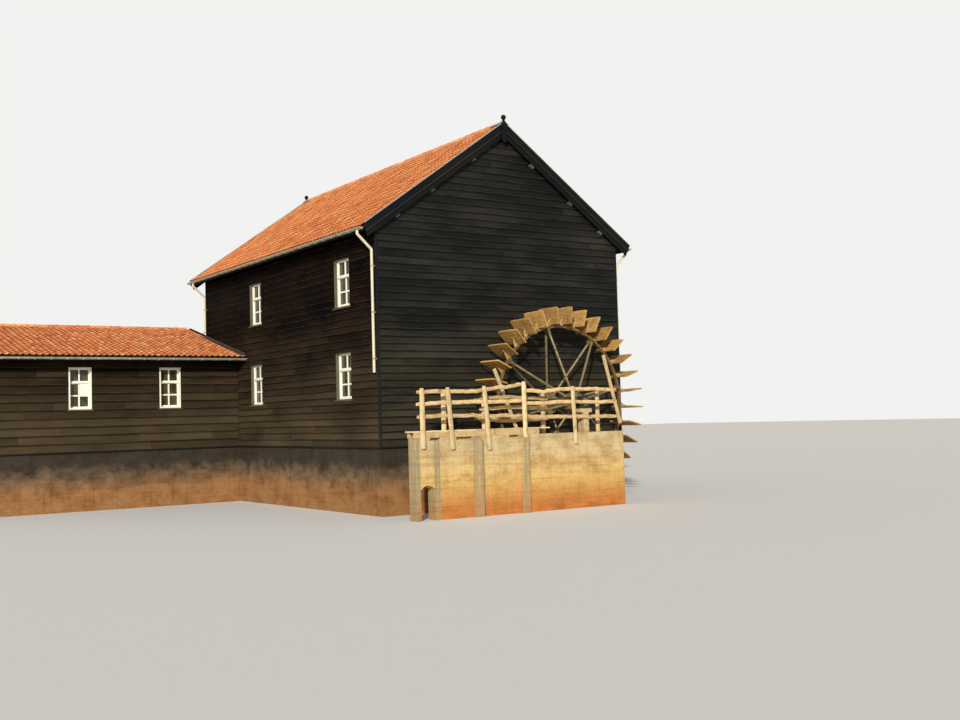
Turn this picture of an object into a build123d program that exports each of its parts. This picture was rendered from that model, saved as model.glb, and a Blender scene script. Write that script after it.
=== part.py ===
from build123d import *
from math import acos, cos, degrees, radians, sin, sqrt, tan
import os

# A timber watermill on a masonry plinth, with a low annex on its left and an
# undershot paddle wheel in front of its gable. Millimetres, +Z up, +X along the
# gable to the right, +Y away from the gable. The origin lies on the underside of
# the front plinth, on the mill's centreline.

# Mill body
mill_width = 9300
mill_length = 13850
wall_thickness = 200
plinth_height = 2050
plinth_thickness = 400
plinth_set_in = 50
ground_floor_thickness = 250
upper_floor_level = 5350
upper_floor_thickness = 200

# Mill roof, measured from the line of the tile tops
roof_pitch = 35.25
apex_height = 10180
tile_depth = 65
roof_board_thickness = 120
eave_overhang = 460
front_verge_overhang = 150
rear_verge_overhang = 400
purlin_width = 160
purlin_depth = 280
purlin_set_back = 30
purlin_offsets = (1380, 2930, 4180)
ridge_tile_radius = 120
ridge_tile_drop = 95

# Bargeboards, apex board and finial
bargeboard_thickness = 25
bargeboard_depth = 250
lower_board_depth = 400
bargeboard_overhang = 513
bargeboard_end_slope = 24
mitre_gap = 1
apex_board_width = 200
apex_board_height = 680
apex_board_thickness = 30
finial_ball_radius = 85
finial_neck_radius = 30
finial_neck_height = 40
finial_ball_steps = 8

# Windows of the mill
window_width = 1030
lower_window_height = 1450
upper_window_height = 1500
lower_window_sill = 1441
upper_window_drop = 847
near_window_offset = 2215
far_window_offset = 8955
frame_set_in = 100
frame_depth = 80
frame_member = 60
transom_height = 70
transom_share = 0.345
glass_thickness = 6
sill_projection = 55
sill_height = 50
sill_slope = 12
sill_side_reach = 60

# Gutters and downpipes
fascia_thickness = 25
fascia_height = 180
gutter_radius = 75
gutter_wall = 4
gutter_drop = 60
downpipe_radius = 42
downpipe_wall = 3
downpipe_wall_gap = 55
pipe_sides = 12
pipe_outlet_drop = 105
near_pipe_offset = 90
far_pipe_offset = 13760
near_pipe_foot = 2180
swan_neck_drop = 610
pipe_kick = 90
pipe_kick_height = 250
pipe_clip_height = 40
first_clip_drop = 510
pipe_clip_spacing = 1370

# Annex
annex_front_offset = 10660
annex_half_depth = 5480
annex_length = 10500
annex_pitch = 13.6
annex_ridge_height = 4800
annex_eave_overhang = 700
annex_verge_overhang = 150
annex_board_thickness = 100
annex_verge_depth = 200
annex_window_width = 770
annex_window_height = 1450
annex_window_sill = 1430
annex_window_spacing = 3140
annex_window_count = 3
annex_first_window = 2600

# Wheel race
race_wall_face = 2150
race_wall_thickness = 400
race_wall_height = 2290
race_wall_start = -90
race_wall_end = 7500
outflow_bay_width = 610
outflow_width = 470
outflow_pier = 140
outflow_spring = 850
outflow_rise = 120
pilaster_width = 300
pilaster_depth = 110
pilaster_drop = 80
pilaster_positions = (1950, 3600)
head_gaps = ((380, 720), (1260, 1790), (3110, 3440))
head_gap_depth = 130

# Walkway and railing
deck_thickness = 40
deck_board_width = 195
deck_start = -190
deck_end = 4630
beam_height = 160
beam_thickness = 90
beam_start = -120
beam_end = 4200
post_width = 150
post_depth = 100
rail_height = 128
rail_depth = 70
front_posts = ((130, -50, 120, 1630), (1110, -100, 970, 1650), (2370, -160, 2220, 1680),
               (3660, 160, 3640, 1800), (5560, -100, 5480, 1650))
rear_posts = ((1140, -80, 1140, 1600), (2540, -60, 2540, 1450), (4710, -60, 4710, 1480),
              (6860, -60, 6860, 1500))
front_rails = (((-200, 1520), (600, 1540), (1850, 1530), (2730, 1620), (3660, 1720)),
               ((-230, 1180), (600, 1215), (1850, 1230), (2700, 1220), (3660, 1240)),
               ((-200, 830), (600, 850), (1850, 840), (2700, 800), (3660, 790)),
               ((3660, 1550), (4430, 1490), (5060, 1570), (6300, 1560), (7300, 1530)),
               ((3660, 1170), (4430, 1150), (5100, 1190), (6300, 1160), (7300, 1170)),
               ((3660, 780), (4430, 740), (5100, 730), (6300, 720), (7300, 700)))
rear_rails = (((2320, 1330), (3400, 1350), (4830, 1280)),
              ((2320, 1020), (3400, 1050), (4830, 1010)),
              ((2320, 700), (3400, 660), (4830, 690)))
plank_width = 110
plank_thickness = 40
left_plank = ((3730, 300), (2920, 2200))
right_plank = ((7380, 480), (6770, 2610))

# Waterwheel
wheel_offset = 6100
wheel_centre_gap = 845
axle_height = 1160
paddle_count = 32
paddle_outer_radius = 3050
paddle_depth = 550
paddle_width = 990
paddle_thickness = 40
first_paddle_angle = 165.5
ring_gap = 30
ring_depth = 70
ring_width = 90
spoke_node_count = 8
first_node_angle = 101.75
node_pad_height = 30
node_pad_length = 150
node_pad_width = 230
spoke_radius = 38
spoke_sides = 16
spoke_spread = 60
hub_flange_flats = 640
hub_flange_thickness = 120
hub_flange_spacing = 1250
bracket_width = 80
bracket_thickness = 12
bracket_reach = 300
bracket_foot = 120
bracket_web = 10
axle_radius = 160
journal_radius = 120
axle_tail = 40

# Bearings
running_clearance = 0.05
seat_clearance = 0.3
wall_box_size = 460
wall_flange_reach = 50
wall_flange_thickness = 30
block_width = 460
block_length = 200
block_foot_height = 50
block_shell = 75
block_ear_reach = 45
block_ear_height = 50
pedestal_width = 200
pedestal_depth = 300
pedestal_head_height = 120
pedestal_position = 230

# Derived lines of the mill
half_width = mill_width / 2
gable_face = -(plinth_thickness / 2 + plinth_set_in)
rear_face = gable_face + mill_length
inner_front = gable_face + wall_thickness
inner_rear = rear_face - wall_thickness
inner_half = half_width - wall_thickness
apex_z = plinth_height + apex_height
pitch_sin = sin(radians(roof_pitch))
pitch_cos = cos(radians(roof_pitch))
pitch_tan = tan(radians(roof_pitch))
slab_depth = tile_depth + roof_board_thickness
slab_front = gable_face - front_verge_overhang
slab_rear = rear_face + rear_verge_overhang
slab_run = slab_rear - slab_front


def roof_z(x, depth=0):
    """Height of the line that lies depth under the tile tops, above the point x."""
    return apex_z - abs(x) * pitch_tan - depth / pitch_cos


def roof_point(offset, depth):
    """Point of the right-hand slope: offset along X from the ridge, then depth inwards."""
    return (offset - depth * pitch_sin, roof_z(offset) - depth * pitch_cos)


def world(local_x, local_z=0):
    """Measured gable coordinates, X from the left corner and Z from the boards' foot."""
    return (local_x - half_width, local_z + plinth_height)


def save(builder, name):
    builder.part.label = name
    export_step(builder.part, f"parts/{name}.step")


def box_between(low, high, mode=Mode.ADD):
    """Box from its low corner to its high corner, in the active builder."""
    size = [b - a for a, b in zip(low, high)]
    with Locations(tuple(low)):
        Box(*size, align=(Align.MIN, Align.MIN, Align.MIN), mode=mode)


os.makedirs("parts", exist_ok=True)

# Plinth: four masonry walls, set in behind the boards
plinth_half = half_width - plinth_set_in
plinth_front_y = gable_face + plinth_set_in
plinth_rear_y = rear_face - plinth_set_in
with BuildPart() as plinth_front:
    box_between((-plinth_half, plinth_front_y, 0),
                (plinth_half, plinth_front_y + plinth_thickness, plinth_height))
save(plinth_front, "plinth_front")
with BuildPart() as plinth_rear:
    box_between((-plinth_half, plinth_rear_y - plinth_thickness, 0),
                (plinth_half, plinth_rear_y, plinth_height))
save(plinth_rear, "plinth_rear")
for side, name in ((-1, "plinth_left"), (1, "plinth_right")):
    inner = side * (plinth_half - plinth_thickness)
    outer = side * plinth_half
    with BuildPart() as plinth_side:
        box_between((min(inner, outer), plinth_front_y + plinth_thickness, 0),
                    (max(inner, outer), plinth_rear_y - plinth_thickness, plinth_height))
    save(plinth_side, name)

# Floors
with BuildPart() as ground_floor:
    box_between((-inner_half, inner_front, plinth_height),
                (inner_half, inner_rear, plinth_height + ground_floor_thickness))
save(ground_floor, "ground_floor")
with BuildPart() as upper_floor:
    box_between((-inner_half, inner_front, upper_floor_level - upper_floor_thickness),
                (inner_half, inner_rear, upper_floor_level))
save(upper_floor, "upper_floor")


def purlin_outline(offset, side, clearance=0):
    """Section of one purlin under the roof boards, square to the slope."""
    half = purlin_width / 2 + clearance
    run = half * pitch_cos
    deep = slab_depth + purlin_depth + clearance
    corners = [(offset - run, slab_depth), (offset + run, slab_depth), (offset + run, deep),
               (offset - run, deep)]
    return [(side * x, z) for x, z in (roof_point(o, d) for o, d in corners)]


# Gable walls, notched round the purlins; the front one carries the axle's wall box
wheel_x = wheel_offset - half_width
axle_z = axle_height + plinth_height


def gable_wall(y_low, wall_box):
    with BuildPart() as wall:
        with BuildSketch(Plane.XZ.offset(-y_low)):
            Polygon(*[(-half_width, plinth_height), (half_width, plinth_height),
                      (half_width, roof_z(half_width, slab_depth)), (0, roof_z(0, slab_depth)),
                      (-half_width, roof_z(half_width, slab_depth))], align=None)
            for side in (-1, 1):
                for offset in purlin_offsets:
                    Polygon(*purlin_outline(offset, side, seat_clearance), align=None,
                            mode=Mode.SUBTRACT)
            if wall_box:
                with Locations((wheel_x, axle_z)):
                    Rectangle(wall_box_size + 2 * seat_clearance,
                              wall_box_size + 2 * seat_clearance, mode=Mode.SUBTRACT)
        extrude(amount=-wall_thickness)
    return wall


save(gable_wall(gable_face, True), "gable_wall_front")
save(gable_wall(inner_rear, False), "gable_wall_rear")

# Side walls with two rows of two windows
wall_head = roof_z(half_width, slab_depth) - plinth_height
upper_window_sill = wall_head - upper_window_drop - upper_window_height
window_rows = ((lower_window_sill, lower_window_height), (upper_window_sill, upper_window_height))
window_columns = (near_window_offset, far_window_offset)
window_places = [(gable_face + column, plinth_height + sill + height / 2, height)
                 for column in window_columns for sill, height in window_rows]
for side, name in ((-1, "side_wall_left"), (1, "side_wall_right")):
    with BuildPart() as side_wall:
        with BuildSketch(Plane.XZ.offset(-inner_front)):
            Polygon(*[(side * inner_half, plinth_height), (side * half_width, plinth_height),
                      (side * half_width, roof_z(half_width, slab_depth)),
                      (side * inner_half, roof_z(inner_half, slab_depth))], align=None)
        extrude(amount=-(inner_rear - inner_front))
        for y, z, height in window_places:
            with Locations((side * (half_width - wall_thickness / 2), y, z)):
                Box(wall_thickness * 2, window_width, height, mode=Mode.SUBTRACT)
    save(side_wall, name)


def window_frame(width, height):
    """Frame of a sash window with its transom at a third of the height."""
    with BuildPart() as frame:
        with BuildSketch(Plane.XZ):
            Rectangle(width - 2 * seat_clearance, height - 2 * seat_clearance)
            clear_width = width - 2 * frame_member
            clear_height = height - 2 * frame_member
            upper = clear_height * transom_share - transom_height / 2
            lower = clear_height - upper - transom_height
            for level, light in (((clear_height - upper) / 2, upper),
                                 ((lower - clear_height) / 2, lower)):
                with Locations((0, level)):
                    Rectangle(clear_width, light, mode=Mode.SUBTRACT)
        extrude(amount=-frame_depth)
    return frame.part


def window_pane(width, height):
    """Sheet of glass that lies against the back of a frame."""
    with BuildPart() as glass:
        with Locations((0, frame_depth + glass_thickness / 2, 0)):
            Box(width - 2 * frame_member / 2, glass_thickness, height - 2 * frame_member / 2)
    return glass.part


def window_sill(width, height):
    """Sill board on the wall's face under a window, its top sloping outwards."""
    reach = width / 2 + sill_side_reach
    with BuildPart() as sill:
        with BuildSketch(Plane.YZ.offset(-reach)):
            Polygon(*[(-frame_set_in, -height / 2), (-frame_set_in, -height / 2 - sill_height),
                      (-frame_set_in - sill_projection, -height / 2 - sill_height),
                      (-frame_set_in - sill_projection, -height / 2 - sill_slope)], align=None)
        extrude(amount=2 * reach)
    return sill.part


def place_windows(piece, places, label):
    with BuildPart() as group:
        for place, height in places:
            with Locations(place):
                add(piece(height))
    save(group, label)


left_face = -(half_width - frame_set_in)
right_face = half_width - frame_set_in
mill_left_places = [(Location((left_face, y, z), (0, 0, -90)), h) for y, z, h in window_places]
mill_right_places = [(Location((right_face, y, z), (0, 0, 90)), h) for y, z, h in window_places]
mill_places = mill_left_places + mill_right_places
place_windows(lambda h: window_frame(window_width, h), mill_places, "mill_window_frames")
place_windows(lambda h: window_pane(window_width, h), mill_places, "mill_window_glass")
place_windows(lambda h: window_sill(window_width, h), mill_places, "mill_window_sills")

# Purlins, with their ends showing under the verges
with BuildPart() as purlins:
    with BuildSketch(Plane.XZ.offset(-(slab_front + purlin_set_back))):
        for side in (-1, 1):
            for offset in purlin_offsets:
                Polygon(*purlin_outline(offset, side), align=None)
    extrude(amount=-(slab_run - 2 * purlin_set_back))
save(purlins, "purlins")

# Roof boards, a slab on each slope, cut plumb at the eave
eave_x = half_width + eave_overhang
for side, name in ((-1, "roof_left"), (1, "roof_right")):
    with BuildPart() as roof:
        with BuildSketch(Plane.XZ.offset(-slab_front)):
            Polygon(*[(0, roof_z(0, tile_depth)), (side * eave_x, roof_z(eave_x, tile_depth)),
                      (side * eave_x, roof_z(eave_x, slab_depth)), (0, roof_z(0, slab_depth))],
                    align=None)
        extrude(amount=-slab_run)
    save(roof, name)

# Annex lines
annex_left = -half_width - annex_length
annex_right = -half_width
annex_front = gable_face + annex_front_offset
annex_ridge_y = annex_front + annex_half_depth
annex_rear = annex_ridge_y + annex_half_depth
annex_ridge_z = plinth_height + annex_ridge_height
annex_tan = tan(radians(annex_pitch))
annex_cos = cos(radians(annex_pitch))
annex_slab_depth = tile_depth + annex_board_thickness
annex_eave = annex_half_depth + annex_eave_overhang
annex_slab_left = annex_left - annex_verge_overhang
annex_slab_right = annex_right + annex_verge_overhang


def annex_z(offset, depth=0):
    """Height of the annex roof at offset from its ridge, depth under the tile tops."""
    return annex_ridge_z - abs(offset) * annex_tan - depth / annex_cos


# Ridge tiles bedded on both roofs
with BuildPart() as ridge_tiles:
    with BuildSketch(Plane.XZ.offset(-slab_front)):
        with Locations((0, apex_z - ridge_tile_drop)):
            Circle(ridge_tile_radius)
        Polygon(*[(0, roof_z(0, tile_depth)), (eave_x, roof_z(eave_x, tile_depth)),
                  (0, roof_z(eave_x, tile_depth)), (-eave_x, roof_z(eave_x, tile_depth))],
                align=None, mode=Mode.SUBTRACT)
    extrude(amount=-slab_run)
    with BuildSketch(Plane.YZ.offset(annex_slab_left)):
        with Locations((annex_ridge_y, annex_ridge_z - ridge_tile_drop)):
            Circle(ridge_tile_radius)
        Polygon(*[(annex_ridge_y, annex_z(0, tile_depth)),
                  (annex_ridge_y + annex_eave, annex_z(annex_eave, tile_depth)),
                  (annex_ridge_y, annex_z(annex_eave, tile_depth)),
                  (annex_ridge_y - annex_eave, annex_z(annex_eave, tile_depth))],
                align=None, mode=Mode.SUBTRACT)
    extrude(amount=annex_slab_right - annex_slab_left)
save(ridge_tiles, "ridge_tiles")

# Bargeboards: an outer board and a deeper one behind it, on both verges


def barge_outline(side, top, bottom):
    """One bargeboard from the mitre at the ridge to its slanting end."""
    end_top = bargeboard_overhang + half_width
    lean = tan(radians(bargeboard_end_slope))
    low_z = roof_z(end_top)

    def end_point(depth):
        drop = depth / pitch_cos / (1 + lean * pitch_tan)
        return (end_top - drop * lean, low_z - drop)

    points = [(mitre_gap, roof_z(mitre_gap, top)), end_point(top), end_point(bottom),
              (mitre_gap, roof_z(mitre_gap, bottom))]
    return [(side * x, z) for x, z in points]


def board_layer(top, bottom, layer, label):
    """Both slopes and both gables of one layer; layer 0 lies on the slab ends."""
    front = slab_front - (layer + 1) * bargeboard_thickness
    rear = slab_rear + layer * bargeboard_thickness
    with BuildPart() as boards:
        for y in (front, rear):
            with BuildSketch(Plane.XZ.offset(-y)):
                for side in (-1, 1):
                    Polygon(*barge_outline(side, top, bottom), align=None)
            extrude(amount=-bargeboard_thickness)
    save(boards, label)


board_layer(tile_depth, lower_board_depth, 0, "verge_boards")
board_layer(0, bargeboard_depth, 1, "bargeboards")

# Apex boards with a rounded foot, and the ball finials over them
verge_front = slab_front - 2 * bargeboard_thickness
verge_rear = slab_rear + 2 * bargeboard_thickness
apex_half = apex_board_width / 2
with BuildPart() as apex_boards:
    for y in (verge_front - apex_board_thickness, verge_rear):
        with BuildSketch(Plane.XZ.offset(-y)):
            Polygon(*[(0, apex_z), (apex_half, roof_z(apex_half)),
                      (apex_half, apex_z - apex_board_height + apex_half),
                      (-apex_half, apex_z - apex_board_height + apex_half),
                      (-apex_half, roof_z(apex_half))], align=None)
            with Locations((0, apex_z - apex_board_height + apex_half)):
                Circle(apex_half)
        extrude(amount=-apex_board_thickness)
save(apex_boards, "apex_boards")

# Turned finials: the neck stands on the mitre, the ball on the neck
finial_z = apex_z + ridge_tile_radius - ridge_tile_drop
ball_z = finial_z + finial_neck_height + finial_ball_radius
neck_angle = degrees(acos(finial_neck_radius / finial_ball_radius))
ball_turn = (90 + neck_angle) / finial_ball_steps
ball_angles = [radians(i * ball_turn - neck_angle) for i in range(finial_ball_steps + 1)]
with BuildPart() as ball_finials:
    for y in (slab_front - bargeboard_thickness, slab_rear + bargeboard_thickness):
        with BuildSketch(Plane((0, y, 0), x_dir=(1, 0, 0), z_dir=(0, -1, 0))):
            Polygon(*[(0, finial_z), (finial_neck_radius, finial_z)],
                    *[(finial_ball_radius * cos(a), ball_z + finial_ball_radius * sin(a))
                      for a in ball_angles[:-1]],
                    (0, ball_z + finial_ball_radius), align=None)
        revolve(axis=Axis((0, y, 0), (0, 0, 1)))
save(ball_finials, "ball_finials")

# Fascia boards and half-round gutters
fascia_top = roof_z(eave_x, tile_depth)
annex_fascia_top = annex_z(annex_eave, tile_depth)
with BuildPart() as fascia_boards:
    for side in (-1, 1):
        inner = side * eave_x
        outer = side * (eave_x + fascia_thickness)
        box_between((min(inner, outer), slab_front, fascia_top - fascia_height),
                    (max(inner, outer), slab_rear, fascia_top))
        inner = annex_ridge_y + side * annex_eave
        outer = inner + side * fascia_thickness
        box_between((annex_slab_left, min(inner, outer), annex_fascia_top - fascia_height),
                    (annex_right, max(inner, outer), annex_fascia_top))
save(fascia_boards, "fascia_boards")


def gutter(length):
    """Half-round gutter along +Z with a stop end at each end, its rim on the X axis."""
    with BuildPart() as trough:
        with BuildSketch():
            Circle(gutter_radius)
            Rectangle(4 * gutter_radius, 2 * gutter_radius, align=(Align.CENTER, Align.MIN),
                      mode=Mode.SUBTRACT)
        extrude(amount=length)
        with BuildSketch(Plane.XY.offset(gutter_wall)):
            Circle(gutter_radius - gutter_wall)
        extrude(amount=length - 2 * gutter_wall, mode=Mode.SUBTRACT)
    return trough.part


gutter_x = eave_x + fascia_thickness + gutter_radius + seat_clearance
gutter_z = fascia_top - gutter_drop
annex_gutter_y = annex_eave + fascia_thickness + gutter_radius + seat_clearance
annex_gutter_z = annex_fascia_top - gutter_drop
with BuildPart() as gutters:
    for side in (-1, 1):
        with Locations(Plane((side * gutter_x, slab_rear, gutter_z), x_dir=(1, 0, 0),
                             z_dir=(0, -1, 0))):
            add(gutter(slab_run))
        with Locations(Plane((annex_slab_left, annex_ridge_y + side * annex_gutter_y,
                              annex_gutter_z), x_dir=(0, 1, 0), z_dir=(1, 0, 0))):
            add(gutter(annex_right - annex_slab_left))
save(gutters, "gutters")


pipe_x = half_width + downpipe_wall_gap + downpipe_radius
pipe_bend_z = gutter_z - swan_neck_drop


def downpipe(side, y, foot_z, kick):
    """Zinc pipe from a gutter: swan neck with mitred elbows, long drop, kick at its foot."""
    top = (side * gutter_x, y, gutter_z - gutter_radius - seat_clearance)
    points = [top, (side * gutter_x, y, top[2] - pipe_outlet_drop),
              (side * pipe_x, y, pipe_bend_z), (side * pipe_x, y, foot_z)]
    if kick:
        points.append((side * (pipe_x + kick), y, foot_z - kick))
    with BuildPart(mode=Mode.PRIVATE) as pipe:
        with BuildLine() as path:
            Polyline(*points)
        with BuildSketch(Plane(top, x_dir=(1, 0, 0), z_dir=(0, 0, -1))):
            RegularPolygon(downpipe_radius, pipe_sides)
            RegularPolygon(downpipe_radius - downpipe_wall, pipe_sides, mode=Mode.SUBTRACT)
        sweep(path=path.line, transition=Transition.RIGHT)
    return pipe.part


annex_roof_at_pipe = annex_z(annex_ridge_y - gable_face - far_pipe_offset)
near_foot_z = near_pipe_foot + plinth_height
pipe_runs = ((-1, near_pipe_offset, near_foot_z, 0),
             (-1, far_pipe_offset, annex_roof_at_pipe + pipe_kick_height, pipe_kick),
             (1, near_pipe_offset, near_foot_z, 0),
             (1, far_pipe_offset, near_foot_z, 0))
with BuildPart() as downpipes:
    for side, offset, foot, kick in pipe_runs:
        add(downpipe(side, gable_face + offset, foot, kick))
save(downpipes, "downpipes")

# Pipe clips: a band round the pipe on a short arm from the wall
with BuildPart() as pipe_clips:
    for side, offset, foot, kick in pipe_runs:
        clip_z = pipe_bend_z - first_clip_drop
        while clip_z > foot + pipe_clip_height:
            with BuildSketch(Plane.XY.offset(clip_z)):
                with Locations((side * pipe_x, gable_face + offset)):
                    RegularPolygon(downpipe_radius + 2 * downpipe_wall, pipe_sides)
                with Locations((side * (half_width + downpipe_wall_gap / 2),
                                gable_face + offset)):
                    Rectangle(downpipe_wall_gap, downpipe_radius)
                with Locations((side * pipe_x, gable_face + offset)):
                    RegularPolygon(downpipe_radius + seat_clearance, pipe_sides,
                                   mode=Mode.SUBTRACT)
            extrude(amount=pipe_clip_height)
            clip_z -= pipe_clip_spacing
save(pipe_clips, "pipe_clips")

# Annex plinth
annex_plinth_front = annex_front + plinth_set_in
annex_plinth_rear = annex_rear - plinth_set_in
annex_plinth_left = annex_left + plinth_set_in
annex_plinth_right = annex_right - plinth_set_in
mill_plinth_left = -plinth_half
with BuildPart() as annex_front_plinth:
    box_between((annex_plinth_left, annex_plinth_front, 0),
                (mill_plinth_left, annex_plinth_front + plinth_thickness, plinth_height))
save(annex_front_plinth, "annex_plinth_front")
with BuildPart() as annex_rear_plinth:
    box_between((annex_plinth_left, annex_plinth_rear - plinth_thickness, 0),
                (annex_plinth_right, annex_plinth_rear, plinth_height))
save(annex_rear_plinth, "annex_plinth_rear")
with BuildPart() as annex_end_plinth:
    box_between((annex_plinth_left, annex_plinth_front + plinth_thickness, 0),
                (annex_plinth_left + plinth_thickness, annex_plinth_rear - plinth_thickness,
                 plinth_height))
save(annex_end_plinth, "annex_plinth_end")
with BuildPart() as annex_side_plinth:
    box_between((annex_plinth_right - plinth_thickness, inner_rear, 0),
                (annex_plinth_right, annex_plinth_rear - plinth_thickness, plinth_height))
save(annex_side_plinth, "annex_plinth_side")

# Annex walls: long walls with windows, gabled end and side
annex_window_places = [annex_right - annex_first_window - i * annex_window_spacing
                       for i in range(annex_window_count)]
annex_window_z = plinth_height + annex_window_sill + annex_window_height / 2
for face_y, side, name in ((annex_front, -1, "annex_wall_front"),
                           (annex_rear, 1, "annex_wall_rear")):
    with BuildPart() as annex_wall:
        with BuildSketch(Plane.YZ.offset(annex_left)):
            inner_y = face_y - side * wall_thickness
            inner_offset = annex_half_depth - wall_thickness
            Polygon(*[(face_y, plinth_height), (inner_y, plinth_height),
                      (inner_y, annex_z(inner_offset, annex_slab_depth)),
                      (face_y, annex_z(annex_half_depth, annex_slab_depth))], align=None)
        extrude(amount=annex_length)
        for x in annex_window_places:
            with Locations((x, face_y, annex_window_z)):
                Box(annex_window_width, wall_thickness * 3, annex_window_height,
                    mode=Mode.SUBTRACT)
    save(annex_wall, name)

annex_inner_front = annex_front + wall_thickness
annex_inner_rear = annex_rear - wall_thickness
annex_inner_offset = annex_half_depth - wall_thickness
with BuildPart() as annex_end:
    with BuildSketch(Plane.YZ.offset(annex_left)):
        Polygon(*[(annex_inner_front, plinth_height), (annex_inner_rear, plinth_height),
                  (annex_inner_rear, annex_z(annex_inner_offset, annex_slab_depth)),
                  (annex_ridge_y, annex_z(0, annex_slab_depth)),
                  (annex_inner_front, annex_z(annex_inner_offset, annex_slab_depth))],
                align=None)
    extrude(amount=wall_thickness)
save(annex_end, "annex_wall_end")
with BuildPart() as annex_side:
    with BuildSketch(Plane.YZ.offset(annex_right - wall_thickness)):
        Polygon(*[(inner_rear, plinth_height), (annex_inner_rear, plinth_height),
                  (annex_inner_rear, annex_z(annex_inner_offset, annex_slab_depth)),
                  (annex_ridge_y, annex_z(0, annex_slab_depth)),
                  (inner_rear, annex_z(annex_ridge_y - inner_rear, annex_slab_depth))],
                align=None)
    extrude(amount=wall_thickness)
save(annex_side, "annex_wall_side")

with BuildPart() as annex_floor:
    box_between((annex_left + wall_thickness, annex_inner_front, plinth_height),
                (annex_right - wall_thickness, annex_inner_rear,
                 plinth_height + ground_floor_thickness))
save(annex_floor, "annex_floor")

# Annex roof, notched round the mill's rear corner
for side, name in ((-1, "annex_roof_front"), (1, "annex_roof_rear")):
    with BuildPart() as annex_roof:
        with BuildSketch(Plane.YZ.offset(annex_slab_left)):
            Polygon(*[(annex_ridge_y, annex_z(0, tile_depth)),
                      (annex_ridge_y + side * annex_eave, annex_z(annex_eave, tile_depth)),
                      (annex_ridge_y + side * annex_eave, annex_z(annex_eave, annex_slab_depth)),
                      (annex_ridge_y, annex_z(0, annex_slab_depth))], align=None)
        extrude(amount=annex_slab_right - annex_slab_left)
        if side < 0:
            box_size = annex_eave
            with Locations((annex_right, rear_face, annex_ridge_z)):
                Box(box_size, 2 * box_size, 2 * box_size, mode=Mode.SUBTRACT,
                    align=(Align.MIN, Align.MAX, Align.CENTER))
    save(annex_roof, name)

# Annex verge boards on the slab ends, the last one stopping at the mill's rear wall
annex_verges = ((annex_slab_left - bargeboard_thickness, -1, annex_eave),
                (annex_slab_left - bargeboard_thickness, 1, annex_eave),
                (annex_slab_right, -1, annex_ridge_y - rear_face - seat_clearance),
                (annex_slab_right, 1, annex_eave))
with BuildPart() as annex_verge_boards:
    for x, side, reach in annex_verges:
        with BuildSketch(Plane.YZ.offset(x)):
            Polygon(*[(annex_ridge_y + side * offset, annex_z(offset, depth))
                      for offset, depth in ((mitre_gap, 0), (reach, 0),
                                            (reach, annex_verge_depth),
                                            (mitre_gap, annex_verge_depth))], align=None)
        extrude(amount=bargeboard_thickness)
save(annex_verge_boards, "annex_verge_boards")

annex_front_frames = [(Location((x, annex_front + frame_set_in, annex_window_z)), 0)
                      for x in annex_window_places]
annex_rear_frames = [(Location((x, annex_rear - frame_set_in, annex_window_z), (0, 0, 180)), 0)
                     for x in annex_window_places]
annex_frames = annex_front_frames + annex_rear_frames
place_windows(lambda h: window_frame(annex_window_width, annex_window_height), annex_frames,
              "annex_window_frames")
place_windows(lambda h: window_pane(annex_window_width, annex_window_height), annex_frames,
              "annex_window_glass")
place_windows(lambda h: window_sill(annex_window_width, annex_window_height), annex_frames,
              "annex_window_sills")

# Race wall in front of the wheel, and its first bay with the outflow
race_front = gable_face - race_wall_face
race_back = race_front + race_wall_thickness
bay_end = race_wall_start + outflow_bay_width
race_top = race_wall_height


def open_panel_heads():
    """Gaps under the edge beam, where the wall panels stop short between the piers."""
    for start, end in head_gaps:
        box_between((world(start)[0], race_front, race_top - pilaster_drop),
                    (world(end)[0], race_front + head_gap_depth, race_top),
                    mode=Mode.SUBTRACT)


with BuildPart() as race_wall:
    box_between((world(bay_end)[0], race_front, 0), (world(race_wall_end)[0], race_back, race_top))
    for position in pilaster_positions:
        left = world(position - pilaster_width / 2)[0]
        box_between((left, race_front - pilaster_depth, 0),
                    (left + pilaster_width, race_front, race_top - pilaster_drop))
    open_panel_heads()
save(race_wall, "race_wall")
with BuildPart() as outflow:
    box_between((world(race_wall_start)[0], race_front, 0),
                (world(bay_end)[0], race_back, race_top))
    with BuildSketch(Plane.XZ.offset(-race_back)):
        with BuildLine():
            low = world(race_wall_start + outflow_pier)[0]
            high = low + outflow_width
            Polyline((low, outflow_spring), (low, 0), (high, 0), (high, outflow_spring))
            ThreePointArc((high, outflow_spring),
                          ((low + high) / 2, outflow_spring + outflow_rise),
                          (low, outflow_spring))
        make_face()
    extrude(amount=race_wall_thickness, mode=Mode.SUBTRACT)
    open_panel_heads()
save(outflow, "race_wall_outflow")

# Walkway: two edge beams on the wall, boards on the beams
deck_z = race_top + beam_height
with BuildPart() as deck_beams:
    for y in (race_front, race_back - beam_thickness):
        box_between((world(beam_start)[0], y, race_top),
                    (world(beam_end)[0], y + beam_thickness, deck_z))
save(deck_beams, "deck_beams")
with BuildPart() as walkway_deck:
    for y in (race_front, race_back - deck_board_width):
        box_between((world(deck_start)[0], y, deck_z),
                    (world(deck_end)[0], y + deck_board_width, deck_z + deck_thickness))
save(walkway_deck, "walkway_deck")


def leaning_outline(foot, head, width):
    """Board between two points, its ends square to its length."""
    (x0, z0), (x1, z1) = world(*foot), world(*head)
    length = sqrt((x1 - x0) ** 2 + (z1 - z0) ** 2)
    nx, nz = -(z1 - z0) / length * width / 2, (x1 - x0) / length * width / 2
    return [(x0 + nx, z0 + nz), (x0 - nx, z0 - nz), (x1 - nx, z1 - nz), (x1 + nx, z1 + nz)]


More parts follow.
